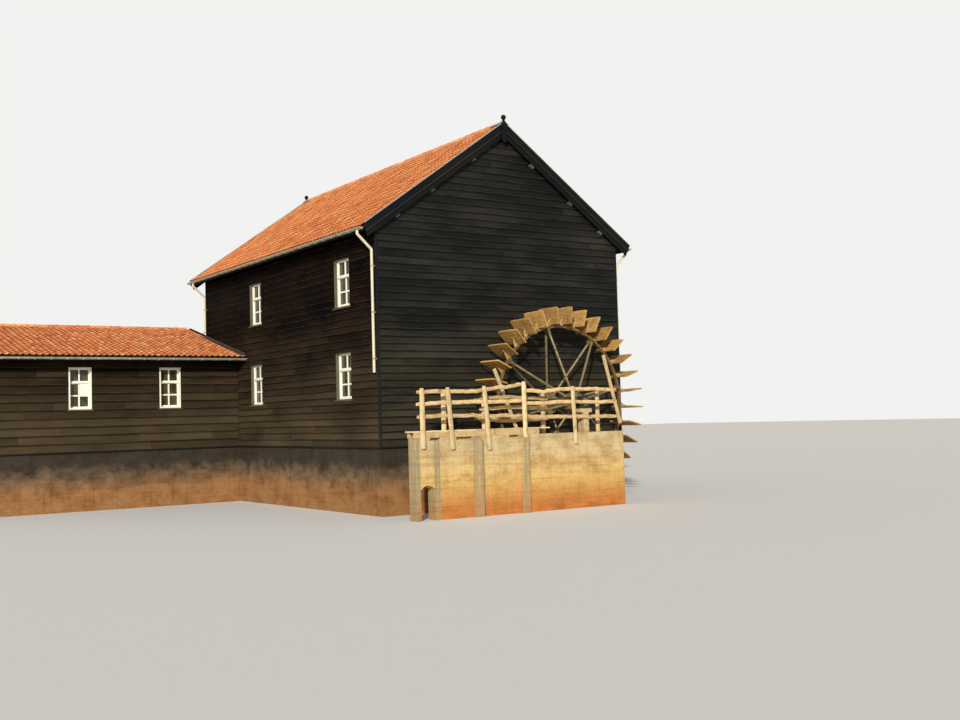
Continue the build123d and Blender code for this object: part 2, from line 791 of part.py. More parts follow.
def post_outline(foot_x, foot_z, head_x, head_z):
    """Split-log post, slightly narrower at its head."""
    (x0, z0), (x1, z1) = world(foot_x, foot_z), world(head_x, head_z)
    half = post_width / 2
    tip = half * 0.8
    return [(x0 - half, z0), (x0 + half, z0), (x1 + half * 0.9, z1 - tip), (x1 + tip * 0.6, z1),
            (x1 - tip * 0.6, z1), (x1 - half * 0.9, z1 - tip)]


def rail_outline(points):
    """Wavy split-log rail with tapering ends."""
    line = [world(*point) for point in points]
    half = rail_height / 2
    last = len(line) - 1
    above = [(x, z + half * (0.75 if i in (0, last) else 1)) for i, (x, z) in enumerate(line)]
    below = [(x, z - half * (0.75 if i in (0, last) else 1)) for i, (x, z) in enumerate(line)]
    return above + below[::-1]


with BuildPart() as railing_posts:
    with BuildSketch(Plane.XZ.offset(-(race_front - post_depth))):
        for post in front_posts:
            Polygon(*post_outline(*post), align=None)
    extrude(amount=-post_depth)
    with BuildSketch(Plane.XZ.offset(-race_back)):
        for post in rear_posts:
            Polygon(*post_outline(*post), align=None)
    extrude(amount=-post_depth)
save(railing_posts, "railing_posts")
with BuildPart() as railing_rails:
    with BuildSketch(Plane.XZ.offset(-race_front)):
        for points in front_rails:
            Polygon(*rail_outline(points), align=None)
    extrude(amount=-rail_depth)
    with BuildSketch(Plane.XZ.offset(-(race_back - rail_depth))):
        for points in rear_rails:
            Polygon(*rail_outline(points), align=None)
    extrude(amount=-rail_depth)
save(railing_rails, "railing_rails")
with BuildPart() as leaning_planks:
    with BuildSketch(Plane.XZ.offset(-race_back)):
        Polygon(*leaning_outline(*left_plank, plank_width), align=None)
    extrude(amount=-plank_thickness)
    with BuildSketch(Plane.XZ.offset(-(race_front - plank_thickness))):
        Polygon(*leaning_outline(*right_plank, plank_width), align=None)
    extrude(amount=-plank_thickness)
save(leaning_planks, "leaning_planks")

# Waterwheel, drawn in its own plane: X to the right, Y up, Z towards the race wall
wheel_y = gable_face - wheel_centre_gap
wheel_plane = Plane((wheel_x, wheel_y, axle_z), x_dir=(1, 0, 0), z_dir=(0, -1, 0))
paddle_inner_radius = paddle_outer_radius - paddle_depth
ring_outer_radius = paddle_inner_radius - ring_gap
pad_face = ring_outer_radius - ring_depth - node_pad_height
wheel_centre = wheel_plane.location
with BuildPart() as paddles:
    with Locations(wheel_centre):
        with PolarLocations((paddle_inner_radius + paddle_outer_radius) / 2, paddle_count,
                            start_angle=first_paddle_angle):
            Box(paddle_depth, paddle_thickness, paddle_width)
save(paddles, "paddles")

# Ring of flat bar on edge, with a pad for each pair of spokes
with BuildPart() as wheel_ring:
    with BuildSketch(wheel_plane):
        Circle(ring_outer_radius)
        Circle(ring_outer_radius - ring_depth, mode=Mode.SUBTRACT)
    extrude(amount=ring_width / 2, both=True)
    with Locations(wheel_centre):
        with PolarLocations(pad_face, spoke_node_count, start_angle=first_node_angle):
            Box(node_pad_height + ring_depth / 2, node_pad_length, node_pad_width,
                align=(Align.MIN, Align.CENTER, Align.CENTER))
save(wheel_ring, "wheel_ring")

# Brackets: an angle on the ring, a web in its corner, the paddle bolted to its long leg
bracket_base = ring_outer_radius + seat_clearance
paddle_side = paddle_thickness / 2
with BuildPart() as bracket:
    with BuildSketch():
        Polygon(*[(bracket_base, paddle_side), (bracket_base + bracket_reach, paddle_side),
                  (bracket_base + bracket_reach, paddle_side + bracket_thickness),
                  (bracket_base + bracket_thickness, paddle_side + bracket_thickness),
                  (bracket_base + bracket_thickness, paddle_side + bracket_foot),
                  (bracket_base, paddle_side + bracket_foot)], align=None)
    extrude(amount=bracket_width / 2, both=True)
    with BuildSketch():
        Polygon(*[(bracket_base + bracket_thickness, paddle_side + bracket_thickness),
                  (bracket_base + bracket_reach * 0.8, paddle_side + bracket_thickness),
                  (bracket_base + bracket_thickness, paddle_side + bracket_foot)], align=None)
    extrude(amount=bracket_web / 2, both=True)
with BuildPart() as paddle_brackets:
    with Locations(wheel_centre):
        with PolarLocations(0, paddle_count, start_angle=first_paddle_angle):
            add(bracket.part)
save(paddle_brackets, "paddle_brackets")

# Hub flanges with a flat for every spoke
flange_offset = hub_flange_spacing / 2
flange_half = hub_flange_flats / 2
with BuildPart() as hub_flanges:
    for level in (-flange_offset, flange_offset):
        with BuildSketch(wheel_plane.offset(level - hub_flange_thickness / 2)):
            RegularPolygon(flange_half, spoke_node_count, major_radius=False,
                           rotation=first_node_angle + 180 / spoke_node_count)
            Circle(axle_radius + seat_clearance, mode=Mode.SUBTRACT)
        extrude(amount=hub_flange_thickness)
save(hub_flanges, "hub_flanges")


def spoke(side):
    """Round spoke from a flange's flat to its pad, in the plane of one node."""
    start = Vector(flange_half, 0, side * flange_offset)
    finish = Vector(pad_face, 0, side * spoke_spread)
    along = (finish - start).normalized()
    spare = 4 * spoke_radius
    with BuildPart(mode=Mode.PRIVATE) as rod:
        with BuildSketch(Plane(start - along * spare, z_dir=along)):
            RegularPolygon(spoke_radius, spoke_sides)
        extrude(amount=(finish - start).length + 2 * spare)
        split(bisect_by=Plane(start, x_dir=(0, 1, 0), z_dir=(1, 0, 0)), keep=Keep.TOP)
        split(bisect_by=Plane(finish, x_dir=(0, 1, 0), z_dir=(1, 0, 0)), keep=Keep.BOTTOM)
    return rod.part


spoke_near = spoke(1)
spoke_far = spoke(-1)
with BuildPart() as spokes:
    with Locations(wheel_centre):
        with PolarLocations(0, spoke_node_count, start_angle=first_node_angle):
            add(spoke_near)
            add(spoke_far)
save(spokes, "spokes")

# Axle, turned down to a journal in each bearing
block_y = race_front + pedestal_position
near_reach = wheel_y - (block_y - block_length / 2 - axle_tail)
far_reach = inner_front + axle_tail - wheel_y
shoulder_gap = axle_tail / 2
near_shoulder = wheel_y - block_y - block_length / 2 - shoulder_gap
far_shoulder = gable_face - wall_flange_thickness - wheel_y - shoulder_gap
with BuildPart() as axle:
    with BuildSketch(Plane((wheel_x, wheel_y, axle_z), x_dir=(0, 0, 1), z_dir=(1, 0, 0))):
        Polygon(*[(0, -far_reach), (journal_radius, -far_reach), (journal_radius, -far_shoulder),
                  (axle_radius, -far_shoulder), (axle_radius, near_shoulder),
                  (journal_radius, near_shoulder), (journal_radius, near_reach),
                  (0, near_reach)], align=None)
    revolve(axis=Axis((wheel_x, wheel_y, axle_z), (0, 1, 0)))
save(axle, "axle")

# Bearings: a wall box through the gable, a plummer block on the race wall
bore_radius = journal_radius + running_clearance
flange_size = wall_box_size + 2 * wall_flange_reach
with BuildPart() as wall_bearing:
    with BuildSketch(Plane.XZ.offset(-gable_face)):
        with Locations((wheel_x, axle_z)):
            Rectangle(wall_box_size, wall_box_size)
    extrude(amount=-wall_thickness)
    with BuildSketch(Plane.XZ.offset(-gable_face)):
        with Locations((wheel_x, axle_z)):
            Rectangle(flange_size, flange_size)
    extrude(amount=wall_flange_thickness)
    with BuildSketch(Plane.XZ.offset(wall_flange_thickness - gable_face)):
        with Locations((wheel_x, axle_z)):
            Circle(bore_radius)
    extrude(amount=-(wall_thickness + wall_flange_thickness), mode=Mode.SUBTRACT)
save(wall_bearing, "wall_bearing")
block_outer = bore_radius + block_shell
block_foot_z = axle_z - block_outer
with BuildPart() as axle_bearing:
    with BuildSketch(Plane.XZ.offset(-(block_y + block_length / 2))):
        with Locations((wheel_x, axle_z)):
            Circle(block_outer)
            Rectangle(2 * block_outer, block_outer, align=(Align.CENTER, Align.MAX))
            Rectangle(2 * (block_outer + block_ear_reach), block_ear_height)
        with Locations((wheel_x, block_foot_z)):
            Rectangle(block_width, block_foot_height, align=(Align.CENTER, Align.MIN))
        with Locations((wheel_x, axle_z)):
            Circle(bore_radius, mode=Mode.SUBTRACT)
    extrude(amount=block_length)
save(axle_bearing, "axle_bearing")
with BuildPart() as bearing_pedestal:
    box_between((wheel_x - pedestal_width / 2, block_y - pedestal_depth / 2, race_top),
                (wheel_x + pedestal_width / 2, block_y + pedestal_depth / 2, block_foot_z))
    box_between((wheel_x - block_width / 2, block_y - pedestal_depth / 2,
                 block_foot_z - pedestal_head_height),
                (wheel_x + block_width / 2, block_y + pedestal_depth / 2, block_foot_z))
save(bearing_pedestal, "bearing_pedestal")
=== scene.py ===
# %% [markdown]
# A tarred timber watermill with an undershot wheel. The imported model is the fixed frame:
# every wall, beam and shaft already stands where it belongs, in metres.

# %% Load the frame
import bpy
import bmesh
import math
import random
from mathutils import Matrix, Vector


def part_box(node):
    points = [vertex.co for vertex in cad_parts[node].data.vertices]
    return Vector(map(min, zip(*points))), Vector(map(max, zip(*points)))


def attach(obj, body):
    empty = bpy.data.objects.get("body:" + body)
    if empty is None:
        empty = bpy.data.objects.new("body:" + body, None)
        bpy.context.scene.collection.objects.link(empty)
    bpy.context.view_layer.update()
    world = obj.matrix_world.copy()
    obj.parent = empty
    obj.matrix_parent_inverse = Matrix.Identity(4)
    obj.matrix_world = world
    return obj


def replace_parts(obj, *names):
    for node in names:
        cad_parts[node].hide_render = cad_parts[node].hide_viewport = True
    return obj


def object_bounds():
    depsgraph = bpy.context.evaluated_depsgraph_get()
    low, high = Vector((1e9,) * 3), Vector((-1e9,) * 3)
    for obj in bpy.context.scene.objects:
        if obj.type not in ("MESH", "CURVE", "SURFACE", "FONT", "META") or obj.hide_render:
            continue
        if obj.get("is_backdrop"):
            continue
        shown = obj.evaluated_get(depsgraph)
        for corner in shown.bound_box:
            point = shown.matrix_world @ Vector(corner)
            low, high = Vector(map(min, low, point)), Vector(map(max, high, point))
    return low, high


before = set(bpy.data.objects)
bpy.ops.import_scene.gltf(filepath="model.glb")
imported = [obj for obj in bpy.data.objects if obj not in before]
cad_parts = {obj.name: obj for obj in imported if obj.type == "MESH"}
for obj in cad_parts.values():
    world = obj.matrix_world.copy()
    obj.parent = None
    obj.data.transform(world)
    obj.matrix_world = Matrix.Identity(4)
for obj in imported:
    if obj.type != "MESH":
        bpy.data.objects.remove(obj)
cad_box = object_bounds()
random.seed(1)
print("frame", len(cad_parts), "nodes", [round(v, 3) for corner in cad_box for v in corner])

# %% [markdown]
# The photograph was taken from low down, in front and to the left of the wheel. The lines of
# the roof, the walls and the wheel gave the place of the lens, its angle and its slight roll.

# %% Camera
camera_place = (-20.827, -29.302, 2.793)
yaw, pitch, roll = 34.253, 2.965, -1.604
lens_mm, sensor_mm, clip_end = 42.37, 36, 500
shift = Matrix.Translation


def turned(degrees, axis):
    return Matrix.Rotation(math.radians(degrees), 4, axis)


bpy.ops.object.camera_add()
camera = bpy.context.object
camera.matrix_world = (shift(camera_place) @ turned(-yaw, "Z") @ turned(90 + pitch, "X")
                       @ turned(roll, "Z"))
camera.data.lens = lens_mm
camera.data.sensor_width = sensor_mm
camera.data.clip_end = clip_end
bpy.context.scene.camera = camera
print("camera", camera.location)

# %% [markdown]
# Light: a low sun stood behind the photographer's left shoulder. A soft sun lamp takes its
# place, and an even pale world fills the shadows as a studio's walls would.

# %% Light
sun_strength, sun_spread, sun_tilt, sun_turn = 3.5, 1.5, 70, -41
bpy.ops.object.light_add(type="SUN", rotation=(math.radians(sun_tilt), 0,
                                               math.radians(sun_turn)))
sun = bpy.context.object
sun.data.energy = sun_strength
sun.data.angle = math.radians(sun_spread)
world = bpy.data.worlds.new("studio")
bpy.context.scene.world = world
world.use_nodes = True
bpy.context.scene.view_settings.view_transform = "Standard"
print("sun", sun.data.energy)

# %% [markdown]
# Two small tools for every finish. The first turns a hex colour, as a screen shows it, into
# the linear values that the shaders count with. The second adds one node of any kind with
# its settings and links. The ones below it are its most frequent uses, so that a material
# reads as a list of what it is made of: noise, ramps, mixes and the numbers between them.

# %% Colour and nodes
def linear(code):
    """sRGB hex code to linear RGBA."""
    parts = [int(code[i:i + 2], 16) / 255 for i in (0, 2, 4)]
    return [c / 12.92 if c <= 0.04045 else ((c + 0.055) / 1.055) ** 2.4 for c in parts] + [1.0]


def fill_in(material, node, settings):
    """A setting is a property, or a socket by its name or _number. A socket takes a value, a
    hex colour or another node's output."""
    for name, value in settings.items():
        key = int(name[1:]) if name[0] == "_" else name.replace("_", " ")
        if isinstance(value, bpy.types.NodeSocket):
            material.node_tree.links.new(value, node.inputs[key])
        elif hasattr(node, name):
            setattr(node, name, value)
        else:
            node.inputs[key].default_value = linear(value) if isinstance(value, str) else value


def add_node(material, kind, give=0, stops=(), **settings):
    """Adds one node and returns the output that is asked for."""
    node = material.node_tree.nodes.new("ShaderNode" + kind)
    fill_in(material, node, settings)
    for number, (position, code) in enumerate(stops):
        steps = node.color_ramp.elements
        middle = 0 < number < len(stops) - 1
        step = steps.new(position) if middle else steps[-1 if number else 0]
        step.position = position
        step.color = linear(code)
    return node.outputs[give]


def own(material, name):
    """A piece's own number: tone for each board or tile, lap and pan for places on it."""
    return add_node(material, "Attribute", "Fac", attribute_name=name)


def reckon(material, operation, *terms):
    terms = {f"_{number}": term for number, term in enumerate(terms)}
    return add_node(material, "Math", operation=operation, **terms)


def place_along(material, axis):
    return add_node(material, "SeparateXYZ", axis, _0=add_node(material, "TexCoord", "Object"))


def noise(material, size_mm, detail, rough, tone=0.0):
    """Noise whose unit is size_mm long on the object; tone gives each board its own stretch."""
    place = add_node(material, "TexCoord", "Object")
    if tone:
        moved = reckon(material, "MULTIPLY", own(material, "tone"), tone)
        place = add_node(material, "VectorMath", operation="ADD", _0=place, _1=moved)
    place = add_node(material, "Mapping", Vector=place, Scale=[1000 / mm for mm in size_mm])
    return add_node(material, "TexNoise", Vector=place, Scale=1.0, Detail=detail,
                    Roughness=rough)


def remap(material, source, span=(0, 1), to=(0, 1)):
    return add_node(material, "MapRange", _0=source, From_Min=span[0], From_Max=span[1],
                    To_Min=to[0], To_Max=to[1])


def ramp(material, source, *stops):
    return add_node(material, "ValToRGB", stops=stops, _0=source)


def mix(material, share, under, over, blend="MIX"):
    return add_node(material, "Mix", 2, data_type="RGBA", blend_type=blend, _0=share, _6=under,
                    _7=over)


def stain(material, source, span, most, under, over, blend="MULTIPLY"):
    """Another colour over the first, where the source runs through a span."""
    return mix(material, remap(material, source, span, (0, most)), under, over, blend)


def dim(material, colour, value):
    return add_node(material, "HueSaturation", Color=colour, Value=value)


def new_material(name):
    material = bpy.data.materials.new(name)
    material.use_nodes = True
    return material


def coat(material, colour, relief, roughness, **settings):
    """Joins the parts up; relief: the source of the bump, its strength and depth in metres."""
    bump = add_node(material, "Bump", Height=relief[0], Strength=relief[1], Distance=relief[2])
    settings.update(Base_Color=colour, Normal=bump, Roughness=roughness)
    fill_in(material, material.node_tree.nodes["Principled BSDF"], settings)
    return material


print("black tar is", [round(v, 4) for v in linear("171411")])

# %% [markdown]
# The camera, a reflection and a view through glass meet an even white studio; the object is
# lit by a dimmer one, so that its shadows keep their depth.

# %% Studio world
ray = add_node(world, "LightPath").node.outputs
seen = reckon(world, "MAXIMUM", ray["Is Camera Ray"], ray["Is Glossy Ray"])
seen = reckon(world, "MAXIMUM", seen, ray["Is Transmission Ray"])
fill = add_node(world, "Background", Color="fff8ee", Strength=0.33)
white = add_node(world, "Background", Color="f2f2f0", Strength=1.0)
studio = add_node(world, "MixShader", _0=seen, _1=fill, _2=white)
world.node_tree.links.new(studio, world.node_tree.nodes["World Output"].inputs[0])
print("world", world.name, len(world.node_tree.nodes), "nodes")

# %% [markdown]
# ** Tarred weatherboards.** Sawn pine boards, brushed with coal tar every few years. Tar gives
# a near-black coat with a soft sheen. Where it thins, brown wood and a grey-olive bloom come
# through, most on the lower part of the walls and on the sides, which are brushed more
# thinly than the gables; the sides' black is also deeper, and this is partly painted shade.
# Under each lap a dark band is painted shadow. The lower edge of a board shows as a thin
# pale line, partly rubbed bare and partly a painted highlight. Grain runs along the board,
# which is level on every wall, so one pattern stretched level serves all four sides.

# %% Tarred weatherboards
bloom_heights = (8.2, 2.4)


def make_tarred_pine(name, low="4d4632", dark="141514", brown="35322a", sheen=0.12,
                     lap_shade=0.08, thin=0.85, patchy=1.0):
    pine = new_material(name)
    grain = noise(pine, (700, 700, 9), 6.0, 0.65, tone=31)
    patches = remap(pine, noise(pine, (2600, 2600, 700), 4.0, 0.6, tone=0.4),
                    to=(0.5 - patchy / 2, 0.5 + patchy / 2))
    lowness = remap(pine, place_along(pine, "Z"), bloom_heights)
    worn = stain(pine, reckon(pine, "MULTIPLY", lowness, patches), (0.16, 0.62), thin,
                 ramp(pine, patches, (0.42, dark), (0.72, brown)), low, "MIX")
    lines = ramp(pine, grain, (0.3, "8f8f8f"), (0.75, "ffffff"))
    grained = mix(pine, 0.75, worn, lines, "MULTIPLY")
    # each board's tone dims it at random; rows under the eaves get the lowest tones, a painted
    # eave shadow
    shaded = dim(pine, grained, remap(pine, own(pine, "tone"), (-1, 1), (0.15, 1.3)))
    lap = own(pine, "lap")
    # painted shadow line: each board is darkened just under the lap of the board above
    lap_shaded = dim(pine, shaded, remap(pine, lap, (0.1, 0.34), (lap_shade, 1)))
    # a thin pale line along each board's lower edge: partly rubbed bare, partly a painted
    # highlight
    edge = reckon(pine, "MULTIPLY", reckon(pine, "POWER", lap, 26.0),
                  remap(pine, grain, (0.42, 0.62), (0, 0.5)))
    return coat(pine, mix(pine, edge, lap_shaded, "6f6a58"), (grain, 0.5, 0.004),
                remap(pine, grain, to=(0.5, 0.8)), Specular_IOR_Level=sheen)


tarred_boards = make_tarred_pine("tarred_pine_weatherboard")
# the sides and the annex: thinner tar with a paler bloom, and a deeper black that is partly
# painted shade
side_boards = make_tarred_pine("thin_tar_weatherboard_painted_shade", "6f5f46", "060403", "301a0c",
                               sheen=0.02, lap_shade=0.36, thin=0.7, patchy=0.5)
tarred_trim = make_tarred_pine("tarred_pine_trim", "2c2a25", "141517", "21201d", lap_shade=1.0)
# a lighter tar for the barge moulding: partly rubbed, partly a painted highlight of its edge
worn_and_lit_trim = make_tarred_pine("rubbed_and_lit_tarred_moulding", "4c4a43", "3b3c3b", "474439",
                             lap_shade=1.0)
print("tarred", tarred_boards.name, tarred_trim.name)

# %% [markdown]
# ** Clay pantiles.** Fired, unglazed clay: orange-red, each tile a little lighter or darker
# from its place in the kiln, soot and lichen in patches; the pans get dirt and painted shade,
# the laps painted shade.
# Clay is dull, so the roughness stays high. The tone attribute carries each tile's firing.

# %% Clay pantiles
clay = new_material("fired_clay_pantile")
firing = ramp(clay, own(clay, "tone"), (0.0, "d27344"), (0.3, "ea8a4e"), (0.8, "f29a57"),
              (1.0, "f9b272"))
soot = noise(clay, (260, 260, 260), 7.0, 0.7, tone=9)
lichen = noise(clay, (45, 45, 45), 5.0, 0.75)
sooty = stain(clay, soot, (0.5, 0.75), 0.7, firing, "5d4436")
# the pans darker: partly dirt, partly painted shade beside the rolls
pan_dirt_and_shade = mix(clay, own(clay, "pan"), sooty, "8d6a50", "MULTIPLY")
# painted shade under each tile's lip, broken up by the soot noise
lip = reckon(clay, "MULTIPLY", reckon(clay, "POWER", own(clay, "lap"), 5.0),
             remap(clay, soot, (0.35, 0.6), (0.25, 1)))
lip_shaded = mix(clay, lip, pan_dirt_and_shade, "542f1e")
spotted = stain(clay, lichen, (0.66, 0.74), 0.5, lip_shaded, "b9a878", "MIX")
coat(clay, spotted, (lichen, 0.35, 0.006), remap(clay, soot, to=(0.7, 0.95)),
     Specular_IOR_Level=0.3)
print("clay", clay.name)

# %% [markdown]
# **Weathered concrete and stained plaster.** The race walls are board-marked concrete that
# iron and damp have turned yellow ochre above and rust orange below. The mill stands on a
# plinth whose upper part carries the same tar as the walls, in runs, over grey cement render,
# and whose foot has the same orange stain. Height decides the stain, and a broken noise keeps
# its edge from being a ruled line. Sand grit is 3 mm, drawn coarser so that it shows.

# %% Concrete and plinth
stain_heights = (0.45, 2.75)
pier_places = ((-4.67, 0.07), (-4.05, 0.09), (-2.70, 0.15), (-1.05, 0.15))


def make_stained_cement(name, upper, middle, lower, drip, bands, run, piers=()):
    cement = new_material(name)
    runs = noise(cement, (110, 110, 1900), 5.0, 0.6)
    blotch = noise(cement, (620, 620, 420), 6.0, 0.65)
    grit = noise(cement, (28, 28, 28), 4.0, 0.8)
    courses = noise(cement, (2600, 2600, 90), 3.0, 0.5)
    wander = reckon(cement, "MULTIPLY_ADD", blotch, 0.9, place_along(cement, "Z"))
    body = ramp(cement, remap(cement, wander, stain_heights),
                *zip(bands, (lower, middle, upper)))
    damp = stain(cement, blotch, (0.42, 0.66), 0.7, body, "cdb07c")
    streaked = stain(cement, runs, (0.5, 0.7), run, damp, drip)
    for centre, half in piers:
        inside = reckon(cement, "COMPARE", place_along(cement, "X"), centre, half)
        some = reckon(cement, "MULTIPLY", inside, remap(cement, runs, (0.3, 0.6)))
        streaked = mix(cement, some, streaked, drip)
    marked = stain(cement, courses, (0.54, 0.62), 0.22, streaked, "b59a70")
    sand = ramp(cement, grit, (0.35, "8c8478"), (0.6, "ffffff"))
    return coat(cement, mix(cement, 0.5, marked, sand, "MULTIPLY"), (grit, 0.4, 0.01),
                remap(cement, blotch, to=(0.75, 0.98)), Specular_IOR_Level=0.25)


concrete = make_stained_cement("board_marked_concrete", "dac596", "e9c47a", "cf8542", "a99974",
                               (0.1, 0.44, 0.9), 0.15, pier_places)
plinth_render = make_stained_cement("tar_washed_cement_render", "40382d", "766148", "a87a4c",
                                    "4a4034", (0.28, 0.5, 0.66), 0.25)
print("cement", concrete.name, plinth_render.name)

# %% [markdown]
# **Weathered timber.** The walkway rails are split logs, barkless and sun-bleached to straw.
# The paddles are elm boards, ochre from the same iron, green-brown with algae where they
# stay wet. One recipe serves both: long grain, checks, and a stain by patches. The three
# colours are the pale and the dark of the grain and its moss; the sizes are the grain in mm.

# %% Bare timber
def make_bare_timber(name, pale, dark, moss, grain_mm, stain_from=0.52, rim=None):
    timber = new_material(name)
    grain = noise(timber, grain_mm, 7.0, 0.7, tone=17)
    patch = noise(timber, (240, 240, 240), 5.0, 0.6, tone=5)
    wood = ramp(timber, grain, (0.3, dark), (0.6, pale))
    stained = stain(timber, patch, (stain_from, stain_from + 0.18), 0.85, wood, moss, "MIX")
    if rim:
        stained = mix(timber, reckon(timber, "POWER", own(timber, "lap"), 14.0), stained, rim)
    shaded = dim(timber, stained, remap(timber, own(timber, "tone"), to=(0.8, 1.2)))
    return coat(timber, shaded, (grain, 0.6, 0.004), remap(timber, grain, to=(0.6, 0.9)),
                Specular_IOR_Level=0.3)


split_chestnut = make_bare_timber("split_chestnut_log", "e2c48e", "a5804c", "8a6c42",
                                  (160, 24, 24))
upright_chestnut = make_bare_timber("upright_chestnut_post", "e6cd9c", "c29c68", "a98a5a",
                                    (30, 30, 200))
elm_paddle = make_bare_timber("wet_elm_paddle", "c79a57", "99723b", "71622c", (60, 260, 60),
                              stain_from=0.5, rim="dba85c")
deck_board = make_bare_timber("sunbleached_deck_board", "e6cfa0", "c4a878", "a08a60",
                              (260, 26, 26))
edge_beam = make_bare_timber("larch_edge_beam", "e9c78e", "c29c62", "9a7a4a", (300, 30, 30))
purlin_pine = make_bare_timber("grey_purlin_end", "6f6859", "4e483b", "3a3526", (40, 300, 40))
sill_oak = make_bare_timber("weathered_sill_oak", "6f5d42", "4a3c28", "332a1c", (40, 200, 30))
floor_deal = make_bare_timber("indoor_pine_floor", "9a7d56", "7a5e3c", "5f4a30", (400, 40, 40))
print("timber", split_chestnut.name, elm_paddle.name)

# %% [markdown]
# **Metals and paint.** Rolled zinc dulls to a pale grey-green patina and stays slightly
# rough. The wheel's ring and spokes are galvanised steel under a film of dried silt, with
# rust where the zinc has gone. The axle box and its block are cast iron, dark and greasy.
# The downpipes and the window joinery wear oil paint, cream and white. A second colour comes
# in patches over the first, as dirt, rust or patina, from a share of the noise upwards.

# %% Metals and paint
def make_skin(name, base, second, patch_mm, patch_from, metallic, *rough, relief=0.002):
    skin = new_material(name)
    patch = noise(skin, patch_mm, 6.0, 0.7, tone=7)
    cover = remap(skin, patch, (patch_from, patch_from + 0.14))
    return coat(skin, mix(skin, cover, base, second), (patch, 0.4, relief),
                remap(skin, cover, to=rough), Metallic=metallic)


def even(size_mm):
    return (size_mm, size_mm, size_mm)


rolled_zinc = make_skin("rolled_zinc_patina", "b3ab93", "8c8670", (300, 300, 120), 0.5, 0.35,
                        0.42, 0.62)
galvanised = make_skin("silted_galvanised_steel", "85754f", "584528", even(140), 0.5, 0.25,
                       0.5, 0.8)
ring_iron = make_skin("rust_browned_ring_iron", "7c6438", "513a20", even(160), 0.48, 0.15,
                      0.6, 0.85)
cast_iron = make_skin("greased_cast_iron", "3b3733", "6a4426", even(90), 0.56, 0.6, 0.35, 0.7)
rusty_iron = make_skin("silted_iron_bracket", "c6a468", "8a6436", even(60), 0.5, 0.1, 0.7, 0.9)
cream_paint = make_skin("cream_oil_paint", "ddd0b2", "bfae8c", (120, 120, 500), 0.58, 0.0,
                        0.35, 0.6)
white_paint = make_skin("white_joinery_paint", "f6f0dc", "dcd2b4", (90, 90, 260), 0.6, 0.0,
                        0.32, 0.5)
old_white = make_skin("chalked_lining_paint", "645c48", "453e2e", (70, 70, 220), 0.52, 0.0,
                      0.6, 0.85)
lead_cap = make_skin("tarred_sheet_lead", "3f3d38", "2b2a26", (160, 160, 90), 0.5, 0.2,
                     0.5, 0.7)
bright_zinc = make_skin("bright_zinc_strap", "dad5c4", "a9a490", even(60), 0.55, 0.1,
                        0.35, 0.5)
lime_mortar = make_skin("bedding_mortar", "b5a284", "8a7355", even(60), 0.5, 0.0, 0.85, 0.95,
                        relief=0.006)
capping_zinc = make_skin("weathered_zinc_capping", "aaa79a", "7d7a6e", (200, 200, 90), 0.52,
                         0.3, 0.45, 0.6)
nail_zinc = make_skin("galvanised_clout_nail", "5f5b50", "3f3326", even(40), 0.55, 0.5,
                      0.35, 0.6)
print("skins", rolled_zinc.name, galvanised.name, white_paint.name)

# %% [markdown]
# **Old window glass.** Drawn glass waves a little, so its reflections wander. The rooms
# behind are dark: a low base colour under a full gloss coat reads as glass over a dark room
# from every side, and survives the export, where clear glass would show the bare inside.

# %% Glass
glass = new_material("drawn_window_glass")
waves = noise(glass, (420, 420, 420), 2.0, 0.5)
coat(glass, ramp(glass, waves, (0.35, "25231a"), (0.7, "5a5234")), (waves, 0.15, 0.01), 0.06,
     Specular_IOR_Level=0.4)
print("glass", glass.name)

# %% [markdown]
# Every node of the frame gets the finish of the real part it stands for.

# %% Dress the frame
node_finish = {
    tarred_boards: "gable_wall_front gable_wall_rear",
    side_boards: "side_wall_left side_wall_right annex_wall_front annex_wall_rear "
                 "annex_wall_end annex_wall_side",
    tarred_trim: "bargeboards verge_boards apex_boards fascia_boards annex_verge_boards "
                 "ball_finials roof_left roof_right annex_roof_front annex_roof_rear",
    sill_oak: "mill_window_sills annex_window_sills",
    clay: "ridge_tiles",
    plinth_render: "plinth_front plinth_rear plinth_left plinth_right annex_plinth_front "
                   "annex_plinth_rear annex_plinth_end annex_plinth_side",
    concrete: "race_wall race_wall_outflow bearing_pedestal",
    purlin_pine: "purlins",
    floor_deal: "ground_floor upper_floor annex_floor",
    split_chestnut: "railing_rails",
    deck_board: "walkway_deck",
    edge_beam: "deck_beams",
    upright_chestnut: "railing_posts leaning_planks",
    elm_paddle: "paddles",
    ring_iron: "wheel_ring",
    galvanised: "spokes hub_flanges axle",
    rusty_iron: "paddle_brackets pipe_clips",
    cast_iron: "wall_bearing axle_bearing",
    rolled_zinc: "gutters",
    cream_paint: "downpipes",
    white_paint: "mill_window_frames annex_window_frames",
    glass: "mill_window_glass annex_window_glass",
}
plain = set(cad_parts)
for finish, names in node_finish.items():
    for name in names.split():
        plain.discard(name)
        part = bpy.data.objects[name]
        part.data.materials.clear()
        part.data.materials.append(finish)
print("nodes without a finish", sorted(plain))

# %% [markdown]
# The tools for the hands. Operators act on whatever is selected, so `take` lifts up one
# piece alone, `pick` selects vertices, edges or faces of it by their place, and `push` moves
# them. `raw` starts a piece from an operator and puts its place into its mesh, because every
# finished piece keeps its origin at the world's. `lay_copies` lays copies of a pattern, each
# with its own mesh and its own tone, and joins them: a wall of boards is one piece, as it is
# one job for the carpenter.

# %% Hand tools
east, north, up = Matrix.Identity(3)


def facing(x, y, z):
    return Matrix((x, y, z)).transposed().to_4x4()


def take(piece=None):
    if bpy.context.object and bpy.context.object.mode == "EDIT":
        bpy.ops.object.mode_set(mode="OBJECT")
    bpy.ops.object.select_all(action="DESELECT")
    if piece:
        piece.select_set(True)
        bpy.context.view_layer.objects.active = piece


def apply_place():
    bpy.ops.object.transform_apply(location=True, rotation=True, scale=True)


